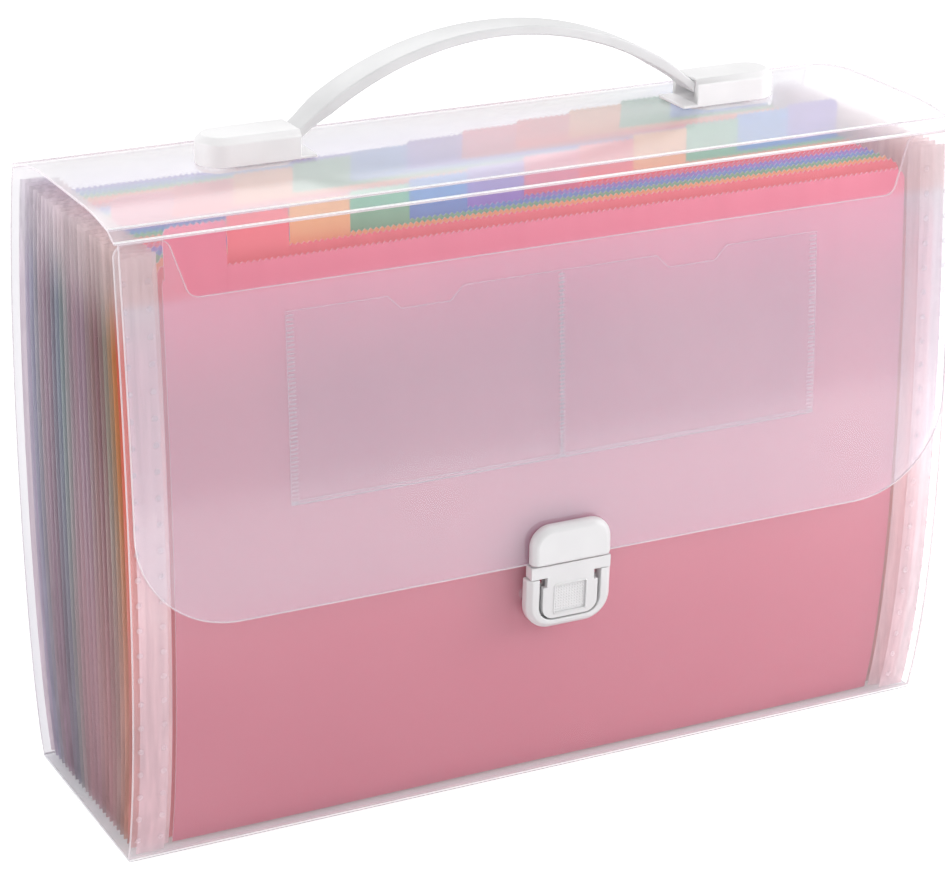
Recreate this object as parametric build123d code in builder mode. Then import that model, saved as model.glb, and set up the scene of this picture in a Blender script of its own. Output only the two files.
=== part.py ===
from build123d import *
import os
from math import asin, atan2, cos, degrees, hypot, sin

# Expanding file: a creased case sheet with pleated sides, 24 coloured dividers,
# a carrying strap in two mounts and a push latch. Millimetres, +Z up, the front
# looks along -Y and the file stands on Z = 0.
os.makedirs("parts", exist_ok=True)

# Case sheet
case_width = 330.0
base_depth = 92.0
base_middle_y = 2.75
wall_height = 231.0
sheet = 0.8
fold_gap = 0.3
bow_strips = 8
front_lean = 6.6
front_belly_low = 13.0
front_belly_high = 15.0
front_belly_low_height = 45.0
front_belly_high_height = 120.0
back_lean = 4.0
back_belly_low = 15.0
back_belly_high = 21.0
back_belly_low_height = 35.0
back_belly_high_height = 170.0

# Top panel, the strip between its two creases, and the front flap
crown_height = 238.0
crown_flat = 37.0
crown_flat_middle_y = -3.75
hinge_height = 232.2
crease_rise = 1.6
strip_run = 6.0
strip_rise = 3.0
flap_gap_top = 0.4
flap_gap = 1.6
flap_inset = 1.5
flap_bottom = 92.0
flap_corner = 38.0
crease_gap = 0.1

# Scoop cut into the top of the front panel
scoop_depth = 21.0
ear_width_top = 19.0
ear_width_bottom = 26.0
scoop_corner = 5.0
ear_corner = 4.0

# Card pockets on the front panel
pocket_half_width = 105.4
pocket_bottom = 131.0
pocket_height = 69.7
pocket_film = 0.25
pocket_stand_off = 0.1
seam_height = 0.2
seam_width = 3.0
pocket_split = 0.6
notch_top = 29.0
notch_bottom = 19.0
notch_depth = 5.0

# Dividers
divider_count = 24
tabs_in_row = 12
divider_sheet = 0.4
divider_side_gap = 18.0
divider_foot = 2.0
divider_top = 221.0
front_tab_height = 13.0
back_tab_height = 10.0
tab_side_gap = 1.0
tab_teeth = 10
tooth_height = 1.0

# Pleated sides
pleat_film = 0.25
pleat_valley_gap = 1.5
pleat_ridge_inset = 2.0
pleat_flange = 11.5
pleat_flange_gap = 0.35
pleat_top = 226.0
pleat_levels = 4

# Carrying strap and its mounts, a little right of the file's middle
handle_middle_x = 2.0
strap_width = 12.0
strap_thickness = 3.0
strap_span = 159.6
strap_apex = 272.2
strap_face_height = 245.3
strap_bend = 12.0
strap_tail = 24.2
strap_edge = 0.9
mount_length = 36.0
mount_width = 19.0
mount_height = 10.6
mount_chamfer = 2.2
mount_middle_y = 5.0
mount_lift = 0.1
cavity_width = 13.4
cavity_floor = 1.5
cavity_height = 7.9
cavity_length = 28.0
lip_length = 6.0
lip_thickness = 1.2
plate_thickness = 1.0
plate_margin = 2.0
plate_corner = 4.0
plate_gap = 0.1

# Rivets that hold the mounts and the latch
rivet_radius = 1.6
rivet_clearance = 0.15
rivet_head_radius = 2.6
rivet_head = 0.6
mount_rivet_spacing = 20.0
cap_rivet_spacing = 14.0
base_rivet_spacing = 29.7
base_rivet_height = 79.0
rivet_seat = 0.25
rivet_reach = 3.0

# Latch, a little right of the file's middle
latch_middle_x = 2.2
base_half_width = 17.2
base_bottom = 66.0
base_top = 86.6
base_corner = 10.0
base_floor = 1.0
base_depth_out = 5.0
base_panel_gap = 0.3
base_edge = 1.8
channel_half_width = 12.5
channel_bottom = 69.4
channel_corner = 6.0
tongue_side_gap = 1.3
tongue_bottom_gap = 0.8
tongue_thickness = 2.2
tongue_travel_gap = 1.9
tongue_top = 91.7
neck_half_width = 9.6
neck_height = 4.0
shoulder_bottom = 87.0
shoulder_panel_gap = 0.8
pad_width = 13.2
pad_height = 11.5
pad_recess = 0.5
pad_bottom = 71.8
cap_half_width = 16.2
cap_bottom = 92.2
cap_top = 107.0
cap_corner = 8.0
cap_thickness = 4.4
cap_edge = 1.8
cap_gap = 0.1

# Worked out from the driving dimensions
front_y = base_middle_y - base_depth / 2
back_y = base_middle_y + base_depth / 2
wall_foot = sheet + fold_gap
case_half = case_width / 2
scoop_top_half = case_half - ear_width_top
scoop_bottom_half = case_half - ear_width_bottom
divider_half = case_half - divider_side_gap
deep = base_depth + front_belly_high + back_belly_high
front_points = [
    (front_y, wall_foot),
    (front_y - front_belly_low, front_belly_low_height),
    (front_y - front_belly_high, front_belly_high_height),
    (front_y - front_lean, wall_height),
]
back_points = [
    (back_y, wall_foot),
    (back_y + back_belly_low, back_belly_low_height),
    (back_y + back_belly_high, back_belly_high_height),
    (back_y + back_lean, wall_height),
]
lower_crease = (front_y - front_lean - flap_gap_top - sheet, wall_height + crease_rise)
upper_crease = (lower_crease[0] + strip_run, lower_crease[1] + strip_rise)
back_hinge = (back_y + back_lean, hinge_height)


def shifted(points, distance):
    """Move a profile's points along Y."""
    return [(y + distance, z) for y, z in points]


def between(share):
    """Points of the sheet that stands at a share of the way from the front's inner
    face to the back's."""
    near, far = shifted(front_points, sheet), shifted(back_points, -sheet)
    return [
        (a[0] + (b[0] - a[0]) * share, a[1] + (b[1] - a[1]) * share)
        for a, b in zip(near, far)
    ]


def bow(points):
    """Corners of a bowed profile, which runs in flat strips along the cubic curve of
    four control points."""
    corners = []
    for strip in range(bow_strips + 1):
        t = strip / bow_strips
        weights = ((1 - t) ** 3, 3 * t * (1 - t) ** 2, 3 * t * t * (1 - t), t**3)
        corners.append(tuple(sum(w * p[axis] for w, p in zip(weights, points)) for axis in (0, 1)))
    return corners


def on_bow(points, height):
    """Y of a bowed profile at a height."""
    corners = bow(points)
    for (y, z), (next_y, next_z) in zip(corners, corners[1:]):
        if height <= next_z:
            break
    return y + (next_y - y) * (height - z) / (next_z - z)


def bowed_section(points, thickness):
    """Face of a sheet between a bowed profile and its copy moved along +Y."""
    with BuildLine() as section:
        Polyline(*bow(points), *bow(shifted(points, thickness))[::-1], close=True)
    make_face(section.edges())


def upright_rectangle(left, right, bottom, top):
    """Rectangle given by its four sides."""
    with Locations(((left + right) / 2, (bottom + top) / 2)):
        Rectangle(right - left, top - bottom)


def face_plane(points, bottom, top):
    """Plane on a bowed wall's outer face behind the latch, through the wall at two
    heights, with its own Y up the wall and its normal outwards."""
    low_y, high_y = on_bow(points, bottom), on_bow(points, top)
    lean = atan2(low_y - high_y, top - bottom)
    return Plane(
        origin=(latch_middle_x, (low_y + high_y) / 2, (bottom + top) / 2),
        x_dir=(1, 0, 0),
        z_dir=(0, -cos(lean), -sin(lean)),
    )


flap_top = lower_crease[1] - sheet - crease_gap
flap_points = shifted(front_points[:3], -flap_gap - sheet) + [(lower_crease[0], flap_top)]
base_plane = face_plane(front_points, base_bottom, base_top)
base_middle = (base_bottom + base_top) / 2
cap_plane = face_plane(flap_points, cap_bottom, cap_top)
cap_middle = (cap_bottom + cap_top) / 2
base_rivets_at = [(side * base_rivet_spacing / 2, base_rivet_height - base_middle) for side in (-1, 1)]
cap_rivets_at = [(side * cap_rivet_spacing / 2, 0) for side in (-1, 1)]
handle_middle = Plane.YZ.offset(handle_middle_x)
mount_face = handle_middle_x + strap_span / 2
mount_round = mount_face + mount_length - mount_width / 2
mount_foot = crown_height + mount_lift
mount_middle = mount_face + mount_length / 2
mount_rivets_at = [
    (mount_middle + side * mount_rivet_spacing / 2, mount_middle_y) for side in (-1, 1)
]
plate_top = crown_height - sheet - plate_gap
hole_radius = rivet_radius + rivet_clearance

# Front panel, with its ears either side of the scoop and the latch's two holes
with BuildPart() as front_panel:
    with BuildSketch(Plane.YZ):
        bowed_section(front_points, sheet)
    extrude(amount=case_half, both=True)
    with BuildSketch(Plane.XZ) as scoop:
        with BuildLine():
            Polyline(
                (-scoop_top_half, wall_height + sheet),
                (-scoop_bottom_half, wall_height - scoop_depth),
                (scoop_bottom_half, wall_height - scoop_depth),
                (scoop_top_half, wall_height + sheet),
                close=True,
            )
        make_face()
        fillet(scoop.vertices().group_by(Axis.Y)[0], scoop_corner)
    extrude(amount=deep, both=True, mode=Mode.SUBTRACT)
    ear_edges = front_panel.edges().filter_by(Axis.Y).group_by(Axis.Z)[-1]
    fillet(ear_edges, ear_corner)
    with BuildSketch(base_plane):
        with Locations(*base_rivets_at):
            Circle(hole_radius)
    extrude(amount=rivet_reach, both=True, mode=Mode.SUBTRACT)

# Back panel
with BuildPart() as back_panel:
    with BuildSketch(Plane.YZ):
        bowed_section(shifted(back_points, -sheet), sheet)
    extrude(amount=case_half, both=True)

# Bottom panel
with BuildPart() as bottom_panel:
    with BuildSketch(Plane.XY):
        upright_rectangle(-case_half, case_half, front_y, back_y)
    extrude(amount=sheet)


def crown_line(drop):
    """Top panel's line from the front crease over the flat to the back fold, lowered
    by drop."""
    front_end = crown_flat_middle_y - crown_flat / 2
    back_end = crown_flat_middle_y + crown_flat / 2
    flat = crown_height - drop
    fore = TangentArc((front_end, flat), (upper_crease[0], upper_crease[1] - drop), tangent=(-1, 0))
    Line((front_end, flat), (back_end, flat))
    aft = TangentArc((back_end, flat), (back_hinge[0], back_hinge[1] - drop), tangent=(1, 0))
    return fore @ 1, aft @ 1


# Top panel, flat under the mounts and rounded down to its folds
with BuildPart() as top_panel:
    with BuildSketch(Plane.YZ):
        with BuildLine():
            outer_ends = crown_line(0)
            inner_ends = crown_line(sheet)
            for outer_end, inner_end in zip(outer_ends, inner_ends):
                Line(outer_end, inner_end)
        make_face()
    extrude(amount=case_half, both=True)
    with BuildSketch(Plane.XY.offset(crown_height - sheet)):
        with Locations(*mount_rivets_at, *[(2 * handle_middle_x - x, y) for x, y in mount_rivets_at]):
            Circle(hole_radius)
    extrude(amount=sheet, mode=Mode.SUBTRACT)

# Strip between the two creases
with BuildPart() as crease_strip:
    with BuildSketch(Plane.YZ):
        with BuildLine():
            near = (upper_crease[0] - crease_gap, upper_crease[1])
            Polyline(
                near,
                lower_crease,
                (lower_crease[0], lower_crease[1] - sheet),
                (near[0], near[1] - sheet),
                close=True,
            )
        make_face()
    extrude(amount=case_half, both=True)

# Front flap
with BuildPart() as front_flap:
    with BuildSketch(Plane.YZ):
        bowed_section(flap_points, sheet)
    extrude(amount=case_half - flap_inset, both=True)
    with BuildSketch(Plane.XZ) as flap_outline:
        upright_rectangle(flap_inset - case_half, case_half - flap_inset, flap_bottom, flap_top)
        fillet(flap_outline.vertices().group_by(Axis.Y)[0], flap_corner)
    extrude(amount=deep, both=True, mode=Mode.INTERSECT)
    with BuildSketch(cap_plane):
        with Locations(*cap_rivets_at):
            Circle(hole_radius)
    extrude(amount=rivet_reach, both=True, mode=Mode.SUBTRACT)

pieces = {
    "front_panel": front_panel,
    "back_panel": back_panel,
    "bottom_panel": bottom_panel,
    "top_panel": top_panel,
    "crease_strip": crease_strip,
    "front_flap": front_flap,
}


def film_outline(path, thickness):
    """Closed outline of a film of even thickness along a path, mitred at each turn."""
    sides = []
    for half in (thickness / 2, -thickness / 2):
        moved = []
        for index, (x, y) in enumerate(path):
            normals = []
            for a, b in zip(path[max(index - 1, 0) : index + 1], path[max(index, 1) : index + 2]):
                length = hypot(b[0] - a[0], b[1] - a[1])
                normals.append(((a[1] - b[1]) / length, (b[0] - a[0]) / length))
            n, m = normals[0], normals[-1]
            scale = half / (1 + n[0] * m[0] + n[1] * m[1])
            moved.append((x + (n[0] + m[0]) * scale, y + (n[1] + m[1]) * scale))
        sides.append(moved)
    return sides[0] + sides[1][::-1]


def pleat_path(height):
    """Zigzag of the right side at a height: a flange on the front panel, a valley at
    each divider's edge with a ridge between every two, and a flange at the back."""
    front = on_bow(front_points, height) + sheet + pleat_flange_gap
    back = on_bow(back_points, height) - sheet - pleat_flange_gap
    shares = [number / (divider_count + 1) for number in range(1, divider_count + 1)]
    valleys = [on_bow(between(share), height) + divider_sheet / 2 for share in shares]
    ridge_x, valley_x = case_half - pleat_ridge_inset, divider_half + pleat_valley_gap
    path = [(ridge_x - pleat_flange, front), (ridge_x, front)]
    for valley, following in zip(valleys, valleys[1:] + [None]):
        path.append((valley_x, valley))
        if following is not None:
            path.append((ridge_x, (valley + following) / 2))
    return path + [(ridge_x, back), (ridge_x - pleat_flange, back)]


# Pleated sides, one film each, made right and mirrored
with BuildPart() as pleats_right:
    for level in range(pleat_levels):
        height = divider_foot + (pleat_top - divider_foot) * level / (pleat_levels - 1)
        with BuildSketch(Plane.XY.offset(height)):
            with BuildLine():
                Polyline(*film_outline(pleat_path(height), pleat_film), close=True)
            make_face()
    loft(ruled=True)
with BuildPart() as pleats_left:
    mirror(pleats_right.part, about=Plane.YZ)
pieces["pleats_right"] = pleats_right
pieces["pleats_left"] = pleats_left


def divider_outline(number):
    """Front view of a divider: a rectangle with one tab, pinked along its top, whose
    place steps from left to right twice over the stack."""
    row, column = divmod(number - 1, tabs_in_row)
    pitch = 2 * divider_half / tabs_in_row
    left = -divider_half + column * pitch + tab_side_gap
    right = left + pitch - 2 * tab_side_gap
    top = divider_top + (back_tab_height if row else front_tab_height)
    tooth = (right - left) / tab_teeth
    points = [(-divider_half, divider_foot), (divider_half, divider_foot)]
    points += [(divider_half, divider_top), (right, divider_top)]
    for index in range(tab_teeth):
        end = right - index * tooth
        points += [(end, top - tooth_height), (end - tooth / 2, top)]
    points += [(left, top - tooth_height), (left, divider_top), (-divider_half, divider_top)]
    return points


# Dividers, bowed more like the front panel at the front and like the back at the back
for number in range(1, divider_count + 1):
    with BuildPart() as divider:
        with BuildSketch(Plane.YZ):
            points = between(number / (divider_count + 1))
            lowest, highest = points[0][1], points[-1][1]
            stretch = (divider_top + front_tab_height + sheet - lowest) / (highest - lowest)
            bowed_section([(y, lowest + (z - lowest) * stretch) for y, z in points], divider_sheet)
        extrude(amount=divider_half, both=True)
        with BuildSketch(Plane.XZ):
            with BuildLine():
                Polyline(*divider_outline(number), close=True)
            make_face()
        extrude(amount=deep, both=True, mode=Mode.INTERSECT)
    pieces[f"divider_{number:02d}"] = divider


# Card pockets: a film with a thumb notch, held off the front panel by welded seams
for name, side in (("card_pocket_left", -1), ("card_pocket_right", 1)):
    inner, outer = side * pocket_split / 2, side * pocket_half_width
    left, right = min(inner, outer), max(inner, outer)
    pocket_top = pocket_bottom + pocket_height
    middle = (left + right) / 2
    with BuildPart() as seams:
        with BuildSketch(Plane.YZ):
            bowed_section(shifted(front_points, -pocket_stand_off - seam_height), seam_height)
        extrude(amount=case_half, both=True)
        with BuildSketch(Plane.XZ):
            upright_rectangle(left, right, pocket_bottom, pocket_top)
            with Locations((middle, pocket_top)):
                hollow = (right - left - 2 * seam_width, 2 * (pocket_height - seam_width))
                Rectangle(*hollow, mode=Mode.SUBTRACT)
        extrude(amount=deep, both=True, mode=Mode.INTERSECT)
    with BuildPart() as card_pocket:
        with BuildSketch(Plane.YZ):
            film_points = shifted(front_points, -pocket_stand_off - seam_height - pocket_film)
            bowed_section(film_points, pocket_film)
        extrude(amount=case_half, both=True)
        with BuildSketch(Plane.XZ):
            upright_rectangle(left, right, pocket_bottom, pocket_top)
            with BuildLine() as notch:
                Polyline(
                    (middle - notch_top / 2, pocket_top),
                    (middle - notch_bottom / 2, pocket_top - notch_depth),
                    (middle + notch_bottom / 2, pocket_top - notch_depth),
                    (middle + notch_top / 2, pocket_top),
                    close=True,
                )
            make_face(mode=Mode.SUBTRACT)
        extrude(amount=deep, both=True, mode=Mode.INTERSECT)
        add(seams.part)
    pieces[name] = card_pocket

# Carrying strap: one flat band, arched between the mounts, whose ends bend level and
# run on inside them
strap_plane = Plane(
    origin=(handle_middle_x, mount_middle_y, 0), x_dir=(1, 0, 0), z_dir=(0, -1, 0)
)
strap_half = strap_span / 2
arch_rise = strap_apex - strap_face_height
arch_radius = (strap_half**2 + arch_rise**2) / (2 * arch_rise)
arch_angle = degrees(asin(strap_half / arch_radius))
with BuildPart() as handle_strap:
    with BuildSketch(strap_plane):
        with BuildLine():
            arch = ThreePointArc(
                (-strap_half, strap_face_height), (0, strap_apex), (strap_half, strap_face_height)
            )
            bend = JernArc(arch @ 1, arch % 1, strap_bend, arch_angle)
            tail = Line(bend @ 1, (strap_half + strap_tail, (bend @ 1).Y))
            mirror(objects=[bend, tail], about=Plane.YZ)
        trace(line_width=strap_thickness)
    extrude(amount=strap_width / 2, both=True)
    long_edges = handle_strap.faces().filter_by(Plane.XZ).edges()
    chamfer(long_edges, strap_edge)
pieces["handle_strap"] = handle_strap

# Strap mounts: a block with a round outer end, chamfered above, hollow towards the
# middle where the strap slides in, with a thin lip under it
with BuildPart() as handle_mount_right:
    with BuildSketch(Plane.XY.offset(mount_foot)):
        upright_rectangle(
            mount_face,
            mount_round,
            mount_middle_y - mount_width / 2,
            mount_middle_y + mount_width / 2,
        )
        with Locations((mount_round, mount_middle_y)):
            Circle(mount_width / 2)
    extrude(amount=mount_height)
    rim = handle_mount_right.faces().sort_by(Axis.Z)[-1].edges().sort_by(Axis.X)[1:]
    chamfer(rim, mount_chamfer)
    with BuildSketch(Plane.YZ.offset(mount_face)):
        with Locations((mount_middle_y, mount_foot + cavity_floor + cavity_height / 2)):
            Rectangle(cavity_width, cavity_height)
    extrude(amount=cavity_length, mode=Mode.SUBTRACT)
    with BuildSketch(Plane.XY.offset(mount_foot)):
        with Locations((mount_face, mount_middle_y)):
            Rectangle(2 * lip_length, mount_width)
    extrude(amount=lip_thickness)
with BuildPart() as handle_mount_left:
    mirror(handle_mount_right.part, about=handle_middle)
pieces["handle_mount_right"] = handle_mount_right
pieces["handle_mount_left"] = handle_mount_left

# Plates under the top panel that the mounts' rivets are headed over
with BuildPart() as handle_plate_right:
    with BuildSketch(Plane.XY.offset(plate_top - plate_thickness)) as plate:
        with Locations((mount_middle, mount_middle_y)):
            Rectangle(mount_length - plate_margin, mount_width - 2 * plate_margin)
        chamfer(plate.vertices(), length=plate_corner)
        with Locations(*mount_rivets_at):
            Circle(hole_radius, mode=Mode.SUBTRACT)
    extrude(amount=plate_thickness)
with BuildPart() as handle_plate_left:
    mirror(handle_plate_right.part, about=handle_middle)
pieces["handle_plate_right"] = handle_plate_right
pieces["handle_plate_left"] = handle_plate_left

# Rivets of the mounts, from each mount's foot to a head under its plate
with BuildPart() as handle_rivets:
    with BuildSketch(Plane.XY.offset(plate_top - plate_thickness)):
        with Locations(*mount_rivets_at):
            Circle(rivet_radius)
    extrude(amount=mount_foot - plate_top + plate_thickness)
    with BuildSketch(Plane.XY.offset(plate_top - plate_thickness)):
        with Locations(*mount_rivets_at):
            Circle(rivet_head_radius)
    extrude(amount=-rivet_head)
    mirror(about=handle_middle)
pieces["handle_rivets"] = handle_rivets


# Latch base on the front panel: a U of two rounded rails round a channel, open above
# and in front, with a window in its floor at either side of the tongue's neck
channel_floor = base_panel_gap + base_floor
neck_bottom = shoulder_bottom - neck_height
with BuildPart() as latch_base:
    with BuildSketch(base_plane.offset(base_panel_gap)) as base_outline:
        Rectangle(2 * base_half_width, base_top - base_bottom)
        fillet(base_outline.vertices().group_by(Axis.Y)[0], base_corner)
    extrude(amount=base_depth_out)
    front_rim = latch_base.faces().sort_by(Axis.Y)[0].edges().sort_by(Axis.Z)[:-1]
    chamfer(front_rim, base_edge)
    with BuildSketch(base_plane.offset(channel_floor)) as channel:
        upright_rectangle(
            -channel_half_width, channel_half_width, channel_bottom - base_middle, base_top
        )
        fillet(channel.vertices().group_by(Axis.Y)[0], channel_corner)
    extrude(amount=base_depth_out, mode=Mode.SUBTRACT)
    with BuildSketch(base_plane):
        for left, right in (
            (-channel_half_width, -neck_half_width),
            (neck_half_width, channel_half_width),
        ):
            upright_rectangle(left, right, neck_bottom - base_middle, base_top)
    extrude(amount=channel_floor, mode=Mode.SUBTRACT)
pieces["latch_base"] = latch_base

# Latch tongue, hinged along its top under the cap: broad shoulders over the base's
# rails, a neck, and a rounded end with a recessed thumb pad
tongue_back = channel_floor + tongue_travel_gap
tongue_half = channel_half_width - tongue_side_gap
tongue_bottom = channel_bottom + tongue_bottom_gap
with BuildPart() as latch_tongue:
    with BuildSketch(base_plane.offset(tongue_back)) as tongue_outline:
        upright_rectangle(
            -tongue_half, tongue_half, tongue_bottom - base_middle, neck_bottom - base_middle
        )
        fillet(tongue_outline.vertices().group_by(Axis.Y)[0], channel_corner - tongue_side_gap)
        upright_rectangle(
            -neck_half_width, neck_half_width, neck_bottom - base_middle, tongue_top - base_middle
        )
    extrude(amount=tongue_thickness)
    with BuildSketch(base_plane.offset(shoulder_panel_gap)):
        upright_rectangle(
            -cap_half_width, cap_half_width, shoulder_bottom - base_middle, tongue_top - base_middle
        )
    extrude(amount=tongue_back + tongue_thickness - shoulder_panel_gap)
    with BuildSketch(base_plane.offset(tongue_back + tongue_thickness)):
        with Locations((0, pad_bottom + pad_height / 2 - base_middle)):
            Rectangle(pad_width, pad_height)
    extrude(amount=-pad_recess, mode=Mode.SUBTRACT)
pieces["latch_tongue"] = latch_tongue

# Latch cap on the flap, round-shouldered
with BuildPart() as latch_cap:
    with BuildSketch(cap_plane.offset(cap_gap)) as cap_outline:
        Rectangle(2 * cap_half_width, cap_top - cap_bottom)
        fillet(cap_outline.vertices().group_by(Axis.Y)[-1], cap_corner)
    extrude(amount=cap_thickness)
    cap_rim = latch_cap.faces().sort_by(Axis.Y)[0].edges().sort_by(Axis.Z)[1:]
    chamfer(cap_rim, cap_edge)
pieces["latch_cap"] = latch_cap

# Rivets of the latch, each from its piece's back through the sheet to a head inside it
latch_rivets = {
    "latch_base_rivets": (base_plane, base_rivets_at, base_panel_gap),
    "latch_cap_rivets": (cap_plane, cap_rivets_at, cap_gap),
}
for name, (plane, places, start) in latch_rivets.items():
    with BuildPart() as rivets:
        with BuildSketch(plane.offset(start)):
            with Locations(*places):
                Circle(rivet_radius)
        extrude(amount=-(start + sheet + rivet_seat))
        with BuildSketch(plane.offset(-sheet - rivet_seat)):
            with Locations(*places):
                Circle(rivet_head_radius)
        extrude(amount=-rivet_head)
    pieces[name] = rivets

for name, piece in pieces.items():
    piece.part.label = name
    export_step(piece.part, f"parts/{name}.step")
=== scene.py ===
"""Looks of the expanding file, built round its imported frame.

Sizes are in millimetres until a mesh is made, which is in metres. +Z is up and the front
of the file, where its latch is, looks along -Y.
"""

import logging
from dataclasses import dataclass
from enum import Enum
from math import asin, cos, radians, sin, tau

import bmesh
import bpy
import numpy as np
from mathutils import Matrix, Vector


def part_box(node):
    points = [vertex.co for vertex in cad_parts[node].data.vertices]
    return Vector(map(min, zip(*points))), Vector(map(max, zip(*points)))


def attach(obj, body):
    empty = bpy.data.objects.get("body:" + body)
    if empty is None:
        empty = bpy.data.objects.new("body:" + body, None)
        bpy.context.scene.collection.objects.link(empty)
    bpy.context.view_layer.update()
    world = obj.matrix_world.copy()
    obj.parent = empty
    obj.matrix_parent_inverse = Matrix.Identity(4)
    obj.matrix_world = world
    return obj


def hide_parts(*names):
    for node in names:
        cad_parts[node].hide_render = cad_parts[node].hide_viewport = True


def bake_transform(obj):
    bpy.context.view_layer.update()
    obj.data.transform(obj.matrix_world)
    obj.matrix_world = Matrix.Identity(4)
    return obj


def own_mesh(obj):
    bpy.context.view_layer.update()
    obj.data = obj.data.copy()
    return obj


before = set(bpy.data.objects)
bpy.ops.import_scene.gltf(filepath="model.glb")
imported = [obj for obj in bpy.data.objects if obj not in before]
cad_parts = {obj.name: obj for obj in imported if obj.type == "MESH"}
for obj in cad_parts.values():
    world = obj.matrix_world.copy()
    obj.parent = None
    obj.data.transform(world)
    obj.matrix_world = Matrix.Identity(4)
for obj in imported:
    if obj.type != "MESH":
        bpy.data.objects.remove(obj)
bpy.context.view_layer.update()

Tree = bpy.types.ShaderNodeTree
Socket = bpy.types.NodeSocket

MM = 0.001
LOG = logging.getLogger("expanding_file")

CASE_HALF = 165.0
SHEET = 0.8
EDGE_HALF_WIDTH = 0.18  # of the strip that shows a see-through sheet's cut edge
WALL_FOOT = 1.1
WALL_HEIGHT = 231.0
FRONT_Y, BACK_Y = -43.25, 48.75

# Folds of the top seen from the side, as (y, z)
LOWER_CREASE = (-51.05, 232.6)
UPPER_CREASE = (-45.05, 235.6)
BACK_HINGE = (52.75, 232.2)
CREASE_GAP = 0.1
FLAP_OFF_FRONT = 2.4  # from the front panel's bow to the flap's outer face

DIVIDERS = 24
PP_IOR = 1.49

# Length and height of the waves in a loose sheet
WAVE_WIDTH, WAVE_HEIGHT = 190.0, 260.0

# Points at which a bow's curve is read
CURVE_SAMPLES = 400

# Directions across a wall and up it
ACROSS = np.array([1.0, 0.0, 0.0])
UPWARD = np.array([0.0, 0.0, 1.0])

# A moulding's copy: points closer than this in metres become one, faces closer than this in
# degrees become one, and edges sharper than this in degrees are rounded
JOIN_DISTANCE = 1e-6
FLAT_ANGLE = 1.0
SHARP_ANGLE = 28.0


class Body(str, Enum):
    """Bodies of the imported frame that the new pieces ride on."""

    CASE = "case"
    FRONT = "front"
    TOP = "top"
    STRIP = "strip"
    FLAP = "flap"
    TONGUE = "tongue"


class Slot(str, Enum):
    """Names of the material slots."""

    SHEET = "frosted_sheet"
    PLEATS = "pleated_film"
    POCKET = "pocket_film"
    MOULDING = "white_moulding"


DYES = {
    "pink": ("#FA7698", "#F36C8F"),
    "coral": ("#FA6A78", "#F25F6E"),
    "yellow": ("#F8BC7C", "#F0B06E"),
    "green": ("#70C6A2", "#62BA94"),
    "blue": ("#5CA4EE", "#4E96E2"),
    "purple": ("#A08CE0", "#927ED4"),
}


# Shapes


@dataclass(frozen=True)
class Bow:
    """Side view of a bowed sheet's outer face: a cubic curve of four (y, z) controls."""

    controls: tuple

    def moved(self, distance: float) -> "Bow":
        """The curve moved along Y."""
        return Bow(tuple((y + distance, z) for y, z in self.controls))

    def mixed(self, other: "Bow", share: float) -> "Bow":
        """The curve a share of the way to another, control by control."""
        near, far = np.array(self.controls), np.array(other.controls)
        return Bow(tuple(map(tuple, near + (far - near) * share)))

    def stretched(self, top: float) -> "Bow":
        """Scales the heights from the foot up.

        Args:
            top: Height at which the curve is to end.

        Returns:
            The scaled curve.
        """
        foot, head = self.controls[0][1], self.controls[-1][1]
        scale = (top - foot) / (head - foot)
        return Bow(tuple((y, foot + (z - foot) * scale) for y, z in self.controls))

    def depth(self, height: np.ndarray) -> np.ndarray:
        """Y of the curve at each height.

        The cubic is sampled evenly in its own parameter t, as the controls weighted by
        (1-t)^3, 3t(1-t)^2, 3t^2(1-t) and t^3, and read between the samples.

        Args:
            height: Heights, any shape.

        Returns:
            Y at each of them, the same shape.
        """
        t = np.linspace(0.0, 1.0, CURVE_SAMPLES)
        s = 1.0 - t
        weights = np.stack([s**3, 3 * t * s * s, 3 * t * t * s, t**3])
        y, z = np.array(self.controls).T @ weights
        return np.interp(height, z, y)


# Outer faces of the two panels, set against the photograph
FRONT_BOW = Bow(
    (
        (FRONT_Y, WALL_FOOT),
        (FRONT_Y - 13.0, 45.0),
        (FRONT_Y - 15.0, 120.0),
        (FRONT_Y - 6.6, WALL_HEIGHT),
    )
)
BACK_BOW = Bow(
    (
        (BACK_Y, WALL_FOOT),
        (BACK_Y + 15.0, 35.0),
        (BACK_Y + 21.0, 170.0),
        (BACK_Y + 4.0, WALL_HEIGHT),
    )
)
FLAP_TOP = LOWER_CREASE[1] - SHEET - CREASE_GAP
FLAP_BOW = Bow((*FRONT_BOW.moved(-FLAP_OFF_FRONT).controls[:3], (LOWER_CREASE[0], FLAP_TOP)))


def divider_bow(number: int) -> Bow:
    """Outer face of a divider, from the front; 0 and the last + 1 are the panels' inner faces."""
    share = number / (DIVIDERS + 1)
    return FRONT_BOW.moved(SHEET).mixed(BACK_BOW.moved(-SHEET), share)


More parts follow.
